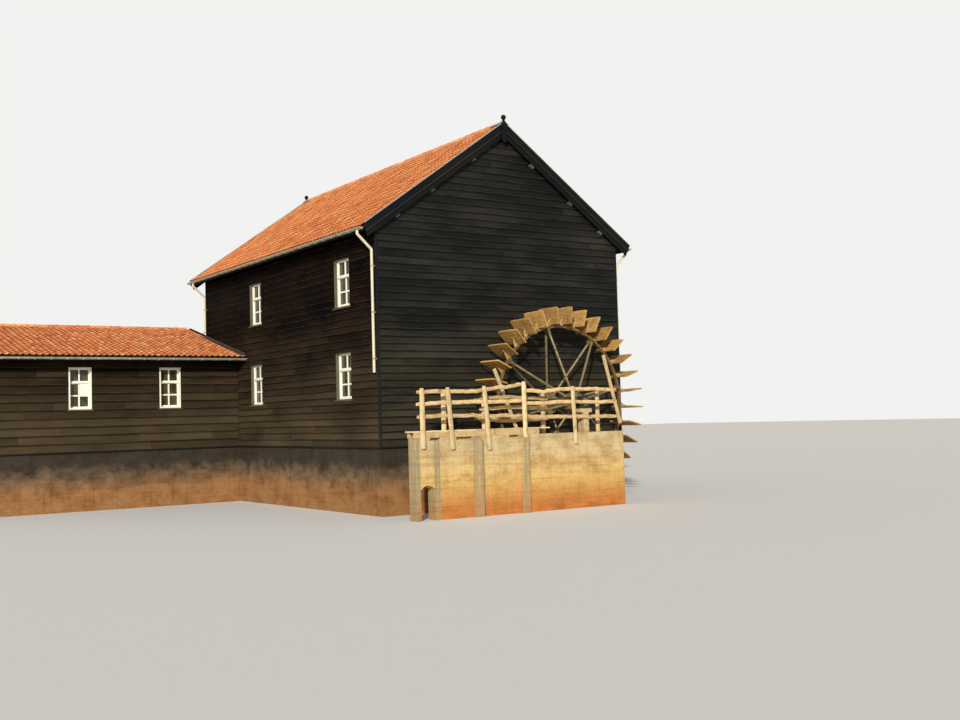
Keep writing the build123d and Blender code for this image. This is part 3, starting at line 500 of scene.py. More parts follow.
def raw(operator, stretch=(1, 1, 1), **values):
    take()
    operator(**values)
    piece = bpy.context.object
    if stretch != (1, 1, 1):
        piece.scale = stretch
    apply_place()
    return piece


def block(low, high):
    """A cube at its size and place, from which a piece is then shaped."""
    return raw(bpy.ops.mesh.primitive_cube_add, size=1,
               location=[(a + b) / 2 for a, b in zip(low, high)],
               scale=[b - a for a, b in zip(low, high)])


def pick(piece, kind, test=None):
    """Edit mode, with only those verts, edges or faces selected whose centre passes a test."""
    if piece.mode != "EDIT":
        take(piece)
        bpy.ops.object.mode_set(mode="EDIT")
    bpy.ops.mesh.select_mode(type=kind.upper())
    bpy.ops.mesh.select_all(action="DESELECT")
    shape = bmesh.from_edit_mesh(piece.data)
    for item in getattr(shape, kind + "s"):
        if kind == "face":
            centre = item.calc_center_median()
        else:
            centre = item.co if kind == "vert" else (item.verts[0].co + item.verts[1].co) / 2
        item.select_set(test is None or bool(test(centre)))
    shape.select_flush_mode()
    bmesh.update_edit_mesh(piece.data)


def push(piece, kind, test, *way):
    pick(piece, kind, test)
    bpy.ops.transform.translate(value=way)


def swell(piece, kind, test, *factors, centre=(0, 0, 0)):
    pick(piece, kind, test)
    bpy.ops.transform.resize(value=factors, center_override=centre)


def draw_out(way):
    bpy.ops.mesh.extrude_region_move(TRANSFORM_OT_translate={"value": way})


def divide(piece, axis, middle, cuts):
    """Cuts the edges that run along an axis, whose middles all lie at one place."""
    pick(piece, "edge", lambda c: abs(c[axis] - middle) < 0.01)
    bpy.ops.mesh.subdivide(number_cuts=cuts)


def saw(piece, point, normal, **values):
    pick(piece, "vert")
    bpy.ops.mesh.bisect(plane_co=point, plane_no=normal, **values)


def tidy_faces(piece, weld=0.0):
    """Welds what lies within a distance, and turns every face outward."""
    pick(piece, "vert")
    if weld:
        bpy.ops.mesh.remove_doubles(threshold=weld)
    bpy.ops.mesh.normals_make_consistent(inside=False)


def modify(piece, kind, **values):
    take(piece)
    modifier = piece.modifiers.new(kind.lower(), kind)
    for key, value in values.items():
        setattr(modifier, key, value)
    bpy.ops.object.modifier_apply(modifier=modifier.name)


def bevel(piece, width, degrees, segments=1):
    modify(piece, "BEVEL", width=width, segments=segments, limit_method="ANGLE",
           angle_limit=math.radians(degrees))


def smooth(piece, degrees):
    take(piece)
    bpy.ops.object.shade_smooth_by_angle(angle=math.radians(degrees))


def mark(piece, name, value):
    """A number for each vertex from its place, for the materials to read."""
    take(piece)
    found = piece.data.attributes.new(name, "FLOAT", "POINT")
    found.data.foreach_set("value", [value(v.co) for v in piece.data.vertices])


def give_tone(piece):
    tone = piece.data.attributes.new("tone", "FLOAT", "FACE")
    tone.data.foreach_set("value", [random.random()] * len(piece.data.polygons))
    return piece


def join(pieces):
    take(pieces[0])
    for piece in pieces:
        piece.select_set(True)
    bpy.ops.object.join()
    return pieces[0]


def settle(piece, name, material, body="mill"):
    take(piece)
    apply_place()
    piece.name = name
    piece.data.name = name
    piece.data.materials.clear()
    piece.data.materials.append(material)
    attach(piece, body)
    return piece


def clear(patterns):
    for pattern in patterns:
        bpy.data.objects.remove(pattern)


def lay_copies(name, patterns, places, material, body="mill", keep=False):
    """Joins copies. A place is a matrix, or else (which pattern, matrix, and a tone where it
    isn't left to chance)."""
    take()
    made = []
    for place in places:
        which, place, *own_tone = place if isinstance(place, tuple) else (0, place)
        mesh = patterns[which].data.copy()
        mesh.transform(place)
        if place.determinant() < 0:
            mesh.flip_normals()
        tone = mesh.attributes.get("tone") or mesh.attributes.new("tone", "FLOAT", "FACE")
        tone.data.foreach_set("value", [*own_tone, random.random()][:1] * len(mesh.polygons))
        made.append(bpy.data.objects.new(name, mesh))
        bpy.context.collection.objects.link(made[-1])
    if not keep:
        clear(patterns)
    return settle(join(made), name, material, body)


print("hand tools ready")

# %% [markdown]
# **The cladding** is lapped, feather-edged board: thick at its lower edge, thin where the
# next one covers it. The walls could be one slab with lines pressed into it, but a slab has
# no laps to throw a shadow line. So one board is cut from a cube, one metre long: its thin
# top is drawn in, the length is divided, and five variants get slightly wandering edges.
# Each board of a wall is then a copy, stretched to its own length.

# %% A weatherboard
board_pitch, board_thick, board_thin, board_steps = 0.218, 0.022, 0.006, 8
board_kinds = 5
board_drop, board_thrust, wander_kept = 0.004, 0.0016, 0.6


def cut_weatherboard():
    board = block((0, -board_thick, 0), (1, 0, board_pitch + 0.003))
    divide(board, 0, 0.5, board_steps - 1)
    push(board, "vert", lambda c: c.z > 0.1 and c.y < -0.01, 0, board_thick - board_thin, 0)
    drop = thrust = 0.0
    for step in range(board_steps + 1):
        drop = wander_kept * drop + random.uniform(-board_drop, board_drop)
        thrust = wander_kept * thrust + random.uniform(-board_thrust, board_thrust)
        push(board, "vert", lambda c: c.z < 0.1 and c.y < -0.01
             and abs(c.x - step / board_steps) < 0.02, 0, thrust, drop)
    mark(board, "lap", lambda c: float(c.z < 0.1))
    return board


board_patterns = [cut_weatherboard() for _ in range(board_kinds)]
print("board pattern", len(board_patterns[0].data.polygons), "faces")

# %% [markdown]
# A carpenter lays a wall row by row, with butt joints staggered, and notches the boards
# round the windows. The function below does the same: it splits a row at each opening, and
# where an opening ends part of the way up a row, the piece over or under it is a narrower
# board. Gable boards run past the roof line and are then sawn off along it by a bisect.
# Rows right under the eaves get a near-black tone: a painted shadow of the eaves.

# %% Lay the cladding
half_mill, mill_front, mill_rear = 4.65, -0.25, 13.60
sill_z, roof_apex, roof_slope, roof_cos = 2.05, 12.23, 0.7068, 0.8166
annex_left, annex_front, annex_rear = -15.15, 10.41, 21.37
ridge_y, annex_apex, annex_slope, annex_cos = 15.89, 6.85, 0.2419, 0.9720
roof_depth, annex_roof_depth = 0.19, 0.17
shortest_board, last_joint, board_lengths = 0.9, 1.2, (2.3, 4.7)
narrowest_board, board_gap, board_off, board_tilt = 0.03, 0.003, 0.0015, 0.07
# the tone range of rows under the eaves, which gives them a painted eave shadow
gap_before, gap_after, eave_shade_tone = 0.001, 0.002, (0.85, 1.0)


def row_pieces(along, low, top, openings):
    """Boards of one row as (start, end, bottom, top), broken at joints and at openings."""
    joints = [along[0]]
    while joints[-1] < along[1] - last_joint:
        joints.append(joints[-1] + random.uniform(*board_lengths))
    joints = [j for j in joints if j < along[1] - shortest_board] + [along[1]]
    for start, end in zip(joints, joints[1:]):
        cuts = sorted({start, end} | {edge for a, b, zl, zh in openings for edge in (a, b)
                                      if start < edge < end and zl < top and zh > low})
        for a, b in zip(cuts, cuts[1:]):
            gap = [o for o in openings
                   if o[0] < (a + b) / 2 < o[1] and o[2] < top and o[3] > low]
            if not gap:
                yield a, b, low, top
                continue
            if gap[0][2] - low > narrowest_board:
                yield a, b, low, gap[0][2]
            if top - gap[0][3] > narrowest_board:
                yield a, b, gap[0][3], top


def clad(name, corner, along, outward, span, eave, foot=sill_z, openings=(), saws=(),
         pitch=board_pitch, shelter=0.0, finish=side_boards):
    """corner: the wall's line at floor level; along and outward: its directions."""
    places = []
    for row in range(math.ceil((eave - foot) / pitch)):
        low = foot + row * pitch
        top = min(low + pitch, eave)
        for a, b, bottom, head in row_pieces(span, low, top, openings):
            flip = random.random() < 0.5
            size = Matrix.Diagonal(((b - a - board_gap) * (-1 if flip else 1), 1,
                                    (head - bottom) / board_pitch, 1))
            start = b - gap_after if flip else a + gap_before
            where = corner + along * start + outward * board_off + up * bottom
            # rows right under the eaves: a near-black tone, painted shadow of the eaves
            eave_shaded = (-random.uniform(*eave_shade_tone),) if eave - bottom < shelter else ()
            hung = turned(random.gauss(0, board_tilt), "Y")
            places.append((random.randrange(board_kinds),
                           shift(where) @ facing(along, -outward, up) @ hung @ size,
                           *eave_shaded))
    wall = lay_copies(name, board_patterns, places, finish, keep=True)
    for point, normal in saws:
        saw(wall, point, normal, use_fill=True, clear_outer=True)
        take(wall)
    print(name, len(places), "boards,", len(wall.data.polygons), "faces")


def openings_of(centres, width, rows):
    return [(c - width / 2, c + width / 2, low, high) for c in centres for low, high in rows]


mill_windows, annex_windows = (1.965, 8.705), (-7.25, -10.39, -13.53)
mill_window_width, annex_window_width = 1.03, 0.77
mill_window_rows, annex_window_rows = ((3.491, 4.941), (6.37, 7.87)), ((3.48, 4.93),)
mill_openings = openings_of(mill_windows, mill_window_width, mill_window_rows)
annex_openings = openings_of(annex_windows, annex_window_width, annex_window_rows)
print(len(mill_openings), "openings in each long side,", len(annex_openings), "in the annex's")

# %% Walls
# how far under the eaves the rows carry the painted eave shadow
annex_pitch, eave_shade_high, annex_eave_shade_high = 0.285, 0.36, 0.34
rows_under_annex_roof = 13
mill_eave = roof_apex - half_mill * roof_slope - roof_depth / roof_cos
annex_eave = annex_apex - (ridge_y - annex_front) * annex_slope - annex_roof_depth / annex_cos
gable_saws = [(up * (roof_apex - roof_depth / roof_cos), up + east * side * roof_slope)
              for side in (-1, 1)]
annex_saws = [(Vector((0, ridge_y, annex_apex - annex_roof_depth / annex_cos)),
               up + north * side * annex_slope) for side in (-1, 1)]
roof_meets_wall = [(Vector((-half_mill, ridge_y, annex_apex - 0.04)),
                    north * annex_slope - up)]
gable_side = ((-half_mill, half_mill), roof_apex - 0.25)
gable = {"saws": gable_saws, "finish": tarred_boards}
long_side = {"openings": mill_openings, "shelter": eave_shade_high}
over_annex = {"foot": sill_z + rows_under_annex_roof * board_pitch, "saws": roof_meets_wall,
              "shelter": eave_shade_high}
annex_side = {"openings": annex_openings, "pitch": annex_pitch, "shelter": annex_eave_shade_high}
annex_gable = {"saws": annex_saws, "pitch": annex_pitch}
walls = (
    ("gable_boards_front", north * mill_front, east, -north, *gable_side, gable),
    ("gable_boards_rear", north * mill_rear, east, north, *gable_side, gable),
    ("side_boards_left", -east * half_mill, north, -east, (mill_front, annex_front), mill_eave,
     long_side),
    ("side_boards_above_annex", -east * half_mill, north, -east, (annex_front, mill_rear),
     mill_eave, over_annex),
    ("side_boards_right", east * half_mill, north, east, (mill_front, mill_rear), mill_eave,
     long_side),
    ("annex_boards_front", north * annex_front, east, -north, (annex_left, -half_mill - 0.03),
     annex_eave, annex_side),
    ("annex_boards_rear", north * annex_rear, east, north, (annex_left, -half_mill), annex_eave,
     annex_side),
    ("annex_boards_end", east * annex_left, north, -east, (annex_front, annex_rear),
     annex_apex - 0.15, annex_gable),
    ("annex_boards_side", -east * half_mill, north, east, (mill_rear + 0.03, annex_rear),
     annex_apex - 0.15, annex_gable),
)
for *wall, options in walls:
    clad(*wall, **options)
clear(board_patterns)

# %% [markdown]
# **Pantiles** hook over battens, each one lapping the tile below by a hand and the tile
# beside it by its roll. A modelled roof could be a wavy sheet, but a sheet has no ends and
# every tile here sits a little askew. So one tile is pushed up out of a grid, column by
# column, into its S, gets its thick lower lip by an extrude, and is copied row by row. It
# stays at two dozen faces, because there are thousands of it.

# %% A pantile
tile_length, tile_exposed, tile_width, tile_lip = 0.40, 0.33, 0.21, 0.015
tile_tilt, tile_roll = 0.022, 1.06
tile_rise = (0.026, 0.008, 0.0, 0.0, 0.006, 0.022, 0.040, 0.045, 0.031)

wide, columns = tile_width * tile_roll, len(tile_rise) - 1
tile = raw(bpy.ops.mesh.primitive_grid_add, (wide, tile_length, 1), x_subdivisions=columns,
           y_subdivisions=2, size=1, location=(wide / 2, tile_length / 2, 0))
for column, rise in enumerate(tile_rise):
    push(tile, "vert", lambda c: abs(c.x - wide * column / columns) < 0.004, 0, 0, rise)
push(tile, "vert", lambda c: c.y < 0.01, 0, 0, tile_tilt)
push(tile, "vert", lambda c: abs(c.y - tile_length / 2) < 0.01, 0, 0, tile_tilt / 2)
pick(tile, "edge", lambda c: c.y < 0.001)
draw_out((0, 0.002, -tile_lip))
tidy_faces(tile)
smooth(tile, 40)
mark(tile, "lap", lambda c: float(c.y < 0.01))
mark(tile, "pan", lambda c: 0.5 if 0.02 < c.x < 0.125 else 0.0)
print("tile", len(tile.data.polygons), "faces", tile.dimensions[:])

# %% [markdown]
# A slope is laid from the eave up, from one verge to the other. Its own directions are: x
# along the eave, y up the slope, z off the roof. The lowest row hangs over the gutter.

# %% Lay the roofs
eave_x, annex_eave_out = 5.11, 6.18
tile_bed, tile_overhang = 0.065, 0.045
tile_turn, tile_tip, tile_slip, tile_lift = 0.72, 0.56, 0.0064, 0.003
tile_spare, ridge_gap = 0.06, 0.02


def tile_slope(name, corner, along, climb, width, length):
    columns = round(width / tile_width)
    rows = math.ceil((length - tile_spare) / tile_exposed)
    step = (length - ridge_gap) / rows
    base = shift(corner) @ facing(along, climb, along.cross(climb))
    size = Matrix.Diagonal((width / columns / tile_width, 1, 1, 1))
    places = []
    for row in range(rows):
        for column in range(columns):
            jitter = turned(random.gauss(0, tile_turn), "Z")
            tip = turned(random.gauss(0, tile_tip), "X")
            place = Vector((column * width / columns, row * step - tile_overhang
                            + random.gauss(0, tile_slip), tile_lift))
            places.append(base @ shift(place) @ jitter @ tip @ size)
    slope = lay_copies(name, [tile], places, clay, keep=True)
    print(name, rows, "rows of", columns, "tiles,", len(slope.data.polygons), "faces")


eave_z = roof_apex - eave_x * roof_slope - tile_bed / roof_cos
annex_eave_z = annex_apex - annex_eave_out * annex_slope - tile_bed / annex_cos
climb_z, annex_climb_z = [up * math.sin(math.atan(slope)) for slope in (roof_slope, annex_slope)]
for name, corner, along, climb, width, length in (
        ("roof_tiles_left", (-eave_x, 14.00, eave_z), -north, east * roof_cos + climb_z,
         14.40, eave_x / roof_cos),
        ("roof_tiles_right", (eave_x, -0.40, eave_z), north, climb_z - east * roof_cos,
         14.40, eave_x / roof_cos),
        ("annex_tiles_front", (-15.30, ridge_y - annex_eave_out, annex_eave_z), east,
         north * annex_cos + annex_climb_z, 10.65, annex_eave_out / annex_cos),
        ("annex_tiles_rear", (-4.50, ridge_y + annex_eave_out, annex_eave_z), -east,
         annex_climb_z - north * annex_cos, 10.80, annex_eave_out / annex_cos)):
    tile_slope(name, Vector(corner), along, climb, width, length)
clear([tile])

# %% [markdown]
# **Ridge tiles** are half-round, bedded in lime mortar, each with a collar over its
# neighbour's end. One is made from a cylinder: the lower half is cut away, the shell gets
# the thickness of fired clay, and one end is widened for the collar.

# %% Ridge tiles
ridge_radius, ridge_step, ridge_sunk = 0.118, 0.39, 0.095
ridge_ends, annex_ridge_start = (0.06, 13.54), -15.28
ridge_count, low_ridge_count, low_ridge_long = 34, 27, 10.60
ridge_shell, ridge_collar, ridge_lift, ridge_tip = 0.014, 1.10, 0.002, 0.7

ridge_tile = raw(bpy.ops.mesh.primitive_cylinder_add, vertices=20, radius=ridge_radius - 0.012,
                 depth=ridge_step + 0.02, end_fill_type="NOTHING",
                 rotation=(math.pi / 2, 0, 0))
saw(ridge_tile, (0, 0, -0.02), up, clear_inner=True)
for cut in (0.12, 0.155):
    saw(ridge_tile, (0, cut, 0), north)
swell(ridge_tile, "vert", lambda c: c.y > 0.15, ridge_collar, 1, ridge_collar,
      centre=(0, 0.2, 0))
modify(ridge_tile, "SOLIDIFY", thickness=ridge_shell, offset=0)
smooth(ridge_tile, 40)


def ridge_row(start, along, count, length):
    step = length / count
    turn = Matrix.Rotation(math.atan2(-along.x, along.y), 4, "Z")
    size = Matrix.Diagonal((1, step / ridge_step, 1, 1))
    return [shift(start + along * step * (number + 0.5) + up * random.gauss(0, ridge_lift))
            @ turn @ turned(random.gauss(0, ridge_tip), "X") @ size for number in range(count)]


main_ridge = ridge_row(Vector((0, ridge_ends[0], roof_apex - ridge_sunk)), north, ridge_count,
                       ridge_ends[1] - ridge_ends[0])
low_ridge = ridge_row(Vector((annex_ridge_start, ridge_y, annex_apex - ridge_sunk)), east,
                      low_ridge_count, low_ridge_long)
ridge = lay_copies("ridge_tile_courses", [ridge_tile], main_ridge + low_ridge, clay)
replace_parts(ridge, "ridge_tiles")
print("ridge", len(main_ridge), "and", len(low_ridge), "tiles")

# %% [markdown]
# ** Zinc saddles** close the ends of the ridge, where the tiles stop behind the finial. Each
# is a flat sheet, creased along the ridge by lifting its middle line, its edges bevelled.

# %% Ridge saddles
saddle_folds = ((0.0, 0.0), (0.03, 0.012), (0.20, 0.135))
saddle_half, saddle_thick, saddle_lift = 0.20, 0.004, 0.022


def fold_saddle(name, low_y, high_y):
    sheet = block((-saddle_half, low_y, 0), (saddle_half, high_y, saddle_thick))
    for line in (-0.03, 0.0, 0.03):
        saw(sheet, (line, 0, 0), east)
    for reach, drop in saddle_folds:
        push(sheet, "vert", lambda c: abs(abs(c.x) - reach) < 0.004,
             0, 0, roof_apex + saddle_lift - drop)
    bevel(sheet, 0.0015, 60)
    settle(sheet, name, capping_zinc)


fold_saddle("ridge_saddle_front", -0.452, ridge_ends[0] + 0.06)
fold_saddle("ridge_saddle_rear", ridge_ends[1] - 0.06, 14.052)
print("saddles folded")

# %% [markdown]
# **Split logs.** The railing is cleft chestnut, so nothing about it is straight or round: it
# tapers, swells at the knots and wanders. A curve with a bevel would give a hose. Here each
# log grows from a ten-sided disc by extrude after extrude, and every new ring is shifted,
# widened and turned a little, as the wood is.

# %% Grow a log
log_sides, log_step, log_girth, log_oval = 10, 0.16, (0.86, 1.0), (0.97, 1.03)


def grow_log(line, width, depth, side, taper, wander):
    """line: (x, z) points; width across the line in the picture plane, depth along y."""
    stations = []
    for (x0, z0), (x1, z1) in zip(line, line[1:]):
        count = max(1, round(math.hypot(x1 - x0, z1 - z0) / log_step))
        stations += [Vector((x0 + (x1 - x0) * i / count, side, z0 + (z1 - z0) * i / count))
                     for i in range(count)]
    stations.append(Vector((line[-1][0], side, line[-1][1])))
    run = math.atan2(line[-1][1] - line[0][1], line[-1][0] - line[0][0])
    log = raw(bpy.ops.mesh.primitive_circle_add, (width * taper[0], depth * taper[0], 1),
              vertices=log_sides, radius=0.5, fill_type="NGON", location=stations[0],
              rotation=(0, math.pi / 2 - run, 0))
    pick(log, "vert")
    here, size = stations[0], taper[0]
    for number, target in enumerate(stations[1:], 1):
        last = number == len(stations) - 1
        if not last:
            target += Vector((0, random.gauss(0, wander * 0.5), random.gauss(0, wander)))
        wanted = taper[1] if last else random.uniform(*log_girth)
        draw_out(target - here)
        grow = wanted / size
        bpy.ops.transform.resize(value=(grow, grow * random.uniform(*log_oval), grow),
                                 center_override=target)
        here, size = target, wanted
    tidy_faces(log)
    bevel(log, 0.006, 50)
    smooth(log, 35)
    return give_tone(log)


print("a log has", log_sides, "sides")

# %% [markdown]
# The posts and rails stand where the photograph shows them: x and height of each log's ends
# and bends, measured from the near corner of the mill and from its sill, in metres.

# %% Railing
front_posts = ((0.13, -0.05, 0.12, 1.63), (1.11, -0.10, 0.97, 1.65), (2.37, -0.16, 2.22, 1.68),
               (3.66, 0.16, 3.64, 1.80), (5.56, -0.10, 5.48, 1.65))
rear_posts = ((1.14, -0.08, 1.14, 1.60), (2.54, -0.06, 2.54, 1.45), (4.71, -0.06, 4.71, 1.48),
              (6.86, -0.06, 6.86, 1.50))
front_rails = (((0.0, 1.52), (0.60, 1.54), (1.85, 1.53), (2.73, 1.62), (3.66, 1.72)),
               ((-0.02, 1.18), (0.60, 1.215), (1.85, 1.23), (2.70, 1.22), (3.66, 1.24)),
               ((0.0, 0.83), (0.60, 0.85), (1.85, 0.84), (2.70, 0.80), (3.66, 0.79)),
               ((3.66, 1.55), (4.43, 1.49), (5.06, 1.57), (6.30, 1.56), (7.30, 1.53)),
               ((3.66, 1.17), (4.43, 1.15), (5.10, 1.19), (6.30, 1.16), (7.30, 1.17)),
               ((3.66, 0.78), (4.43, 0.74), (5.10, 0.73), (6.30, 0.72), (7.30, 0.70)))
rear_rails = (((2.32, 1.33), (3.40, 1.35), (4.83, 1.28)),
              ((2.32, 1.02), (3.40, 1.05), (4.83, 1.01)),
              ((2.32, 0.70), (3.40, 0.66), (4.83, 0.69)))
post_width, post_depth, post_taper, post_wander = (0.15, 0.18), 0.098, (0.97, 0.72), 0.004
rail_width, rail_depth, rail_taper, rail_wander = 0.128, 0.069, (0.7, 0.75), 0.008


def at_mill(*points):
    return [(x - half_mill, z + sill_z) for x, z in points]


posts = [grow_log(at_mill((x0, z0), (x1, z1)), random.uniform(*post_width), post_depth, y,
                  post_taper, post_wander)
         for rows, y in ((front_posts, -2.45), (rear_posts, -1.95)) for x0, z0, x1, z1 in rows]
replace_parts(settle(join(posts), "cleft_posts", upright_chestnut), "railing_posts")
rails = [grow_log(at_mill(*line), rail_width, rail_depth, y, rail_taper, rail_wander)
         for rows, y in ((front_rails, -2.365), (rear_rails, -2.035)) for line in rows]
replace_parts(settle(join(rails), "cleft_rails", split_chestnut), "railing_rails")
print("railing", len(posts), "posts", len(rails), "rails")

# %% [markdown]
# **Deck boards.** The walkway is two lines of sawn boards on the edge beams, butted end to
# end. Each board is a cube, divided along its length, bent a little up and sideways, and
# its end grain chamfered. Old boards are never quite level with their neighbours.

# %% Deck boards
deck_low, deck_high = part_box("walkway_deck")
deck_board_wide, deck_cuts, deck_lengths, deck_last = 0.195, 5, (1.7, 2.5), 2.6
deck_bend, deck_sag, deck_gap = 0.004, 0.0025, 0.006


def saw_deck_board(start, end, side):
    board = block((start, side, deck_low.z), (end, side + deck_board_wide, deck_high.z))
    divide(board, 0, (start + end) / 2, deck_cuts)
    for cut in range(deck_cuts + 2):
        spot = start + (end - start) * cut / (deck_cuts + 1)
        push(board, "vert", lambda c: abs(c.x - spot) < 0.02,
             0, random.gauss(0, deck_bend), random.gauss(0, deck_sag))
    bevel(board, 0.005, 50)
    return give_tone(board)


deck_boards = []
for side in (deck_low.y + 0.002, deck_high.y - deck_board_wide - 0.002):
    spots = [deck_low.x + 0.004]
    while spots[-1] < deck_high.x - deck_last:
        spots.append(spots[-1] + random.uniform(*deck_lengths))
    for start, end in zip(spots, spots[1:] + [deck_high.x - 0.004]):
        deck_boards.append(saw_deck_board(start, end - deck_gap, side))
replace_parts(settle(join(deck_boards), "sawn_deck_boards", deck_board), "walkway_deck")
print("deck", len(deck_boards), "boards")

# %% [markdown]
# **The paddles** are pairs of elm boards, bolted to bent brackets on the wheel's ring. Wear
# has rounded their outer edge and corners and opened the joint between the boards. One
# paddle is cut from a cube: subdivided, its outer edge nibbled, the joint pressed in as a
# groove and the arrises bevelled. Thirty-two copies stand round the axle.

# %% Paddles
wheel_centre = Vector((1.45, -1.095, 3.21))
paddle_inner, paddle_outer, paddle_half, paddle_thick = 2.50, 3.05, 0.495, 0.04
paddle_turn, paddle_count, paddle_kinds = 165.5, 32, 3
edge_worn, corner_worn, groove_half, groove_depth = 0.009, 0.014, 0.006, 0.55


def cut_paddle():
    paddle = block((paddle_inner, -paddle_half, -paddle_thick / 2),
                   (paddle_outer, paddle_half, paddle_thick / 2))
    divide(paddle, 1, 0, 9)
    groove = (paddle_inner + paddle_outer) / 2 + 0.02
    for offset in (-groove_half, 0.0, groove_half):
        saw(paddle, (groove + offset, 0, 0), east)
    swell(paddle, "vert", lambda c: abs(c.x - groove) < 0.002, 1, 1, groove_depth)
    for step in range(11):
        y = -paddle_half + step * paddle_half / 5
        nibble = random.uniform(0, edge_worn) + (corner_worn if step in (0, 10) else 0)
        push(paddle, "vert", lambda c: c.x > paddle_outer - 0.03 and abs(c.y - y) < 0.01,
             -nibble, 0, 0)
    bevel(paddle, 0.005, 40)
    mark(paddle, "lap",
         lambda c: max(0.0, (c.x - paddle_inner) / (paddle_outer - paddle_inner)))
    return paddle


def round_the_wheel(start, count):
    """Places round the axle: degrees from the right, anticlockwise as the front shows it."""
    return [shift(wheel_centre) @ turned(-(start + number * 360 / count), "Y")
            for number in range(count)]


paddle_patterns = [cut_paddle() for _ in range(paddle_kinds)]
paddle_turns = round_the_wheel(paddle_turn, paddle_count)
paddle_boards = lay_copies("elm_paddles", paddle_patterns, [
    (random.randrange(paddle_kinds), place) for place in paddle_turns], elm_paddle, "wheel")
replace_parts(paddle_boards, "paddles")
print("paddles", len(paddle_boards.data.polygons), "faces")

# %% [markdown]
# **Bolts and sockets of the wheel.** Each paddle is clamped to its bracket by four hexagon
# bolts, and two more hold the bracket to the ring. Every spoke ends in a forged socket, at the
# ring and at the hub, and fish plates join the eight lengths of the ring. A bolt is a
# six-sided prism with its top drawn in, over a round washer, its nut and thread behind.

# %% Bolts of the wheel
bracket_outer, ring_face, ring_back = 0.032, 2.4823, 2.40
washer_radius, nut_radius, thread_radius = 0.021, 0.015, 0.007
washer_thick, head_top, nut_high, thread_high, chamfer = 0.003, 0.012, 0.012, 0.024, 0.8
bolt_pair, bolt_radii, foot_bolt_z = (-0.024, 0.024), (2.575, 2.715), 0.095
radially = turned(90, "Y")


def prism(sides, radius, low, high, top=1.0):
    """A prism along z, its far end drawn in by the factor top."""
    piece = raw(bpy.ops.mesh.primitive_cylinder_add, vertices=sides, radius=radius,
                depth=high - low, location=(0, 0, (low + high) / 2))
    if top < 1:
        pick(piece, "face", lambda c: c.z > high - 0.0001)
        bpy.ops.mesh.inset(thickness=radius * (1 - top))
        bpy.ops.transform.translate(value=(0, 0, (high - low) * 0.2))
    return piece


def make_bolt(head_from, nut_from):
    """Head above head_from, nut and thread below nut_from, held apart by the work."""
    front = [prism(12, washer_radius, head_from, head_from + washer_thick),
             prism(6, nut_radius, head_from + washer_thick, head_from + head_top, top=chamfer)]
    behind = [prism(6, nut_radius, 0, nut_high, top=chamfer),
              prism(6, thread_radius, 0.0, thread_high)]
    for piece in behind:
        take(piece)
        piece.rotation_euler = (math.pi, 0, 0)
        piece.location = (0, 0, nut_from)
        apply_place()
    return join(front + behind)


def lay_bolts(name, turns, spots, head_from, nut_from, turn=Matrix()):
    places = [place @ shift(spot) @ turn for place in turns for spot in spots]
    lay_copies(name, [make_bolt(head_from, nut_from)], places, galvanised, "wheel")
    print(name, len(places))


lay_bolts("paddle_bolts", paddle_turns, [(r, y, 0) for r in bolt_radii for y in bolt_pair],
          bracket_outer, -paddle_thick / 2)
lay_bolts("bracket_bolts", paddle_turns, [(0, y, foot_bolt_z) for y in bolt_pair], ring_face,
          ring_back, radially)

# %% Spoke sockets and fish plates
node_turn, node_count = 101.75, 8
spoke_foot, spoke_head = Vector((0.32, 0.625, 0)), Vector((2.37, 0.06, 0))
plate_thick, plate_half_wide, plate_half_long = 0.009, 0.036, 0.16
socket_radius, socket_reach, collar_swell = 0.054, 0.03, 1.45
plate_bolts, plate_bolt_sunk = (-0.12, -0.05, 0.05, 0.12), 0.0123

socket = prism(14, socket_radius, -0.012, 0.10, top=0.85)
pick(socket, "face", lambda c: c.z < -0.011)
draw_out((0, 0, -0.01))
bpy.ops.transform.resize(value=(collar_swell, collar_swell, 1), center_override=(0, 0, 0))
draw_out((0, 0, -0.012))
smooth(socket, 40)
plate = block((ring_back - plate_thick, -plate_half_wide, -plate_half_long),
              (ring_back, plate_half_wide, plate_half_long))
divide(plate, 2, 0, 5)
bevel(plate, 0.003, 60)
socket_places = []
for place in round_the_wheel(node_turn, node_count):
    for side in (-1, 1):
        mirror = Vector((1, side, 1))
        foot, head = spoke_foot * mirror, spoke_head * mirror
        for end, way in ((foot, head - foot), (head, foot - head)):
            socket_places.append(place @ shift(end + way.normalized() * socket_reach)
                                 @ way.to_track_quat("Z", "Y").to_matrix().to_4x4())
lay_copies("spoke_sockets", [socket], socket_places, ring_iron, "wheel")
plate_turns = round_the_wheel(node_turn + 22.5, node_count)
lay_copies("fish_plates", [plate], plate_turns, ring_iron, "wheel")
lay_bolts("fish_plate_bolts", plate_turns, [(0, 0, z) for z in plate_bolts],
          ring_face - plate_bolt_sunk, ring_back - plate_thick, radially)
print("sockets", len(socket_places), "plates", len(plate_turns))

# %% [markdown]
# **The windows** are sliding sashes: an upper light of two panes, and a lower one of four
# that runs further in. Their glazing bars could be drawn on the glass, but they stand proud
# of it and throw a fine shadow. A joiner's grid is quickly made from a plane: divided into
# panes, each pane inset by half a bar, the panes taken out, and the lattice thickened. The
# opening is lined with boards, whose old grey-white paint shows on the side that is seen.
# The annex's windows have box frames instead, whose white casings come out past the boards
# and catch the sun all round.

# %% Sashes
bar_half, sash_thick, frame_member, transom, transom_share = 0.026, 0.034, 0.06, 0.07, 0.345
frame_set_in, lining_thick, casing_member, casing_proud = 0.10, 0.016, 0.052, 0.022
window_heights, upper_face, lower_face, spare = (1.45, 1.50), 0.018, 0.042, 0.01


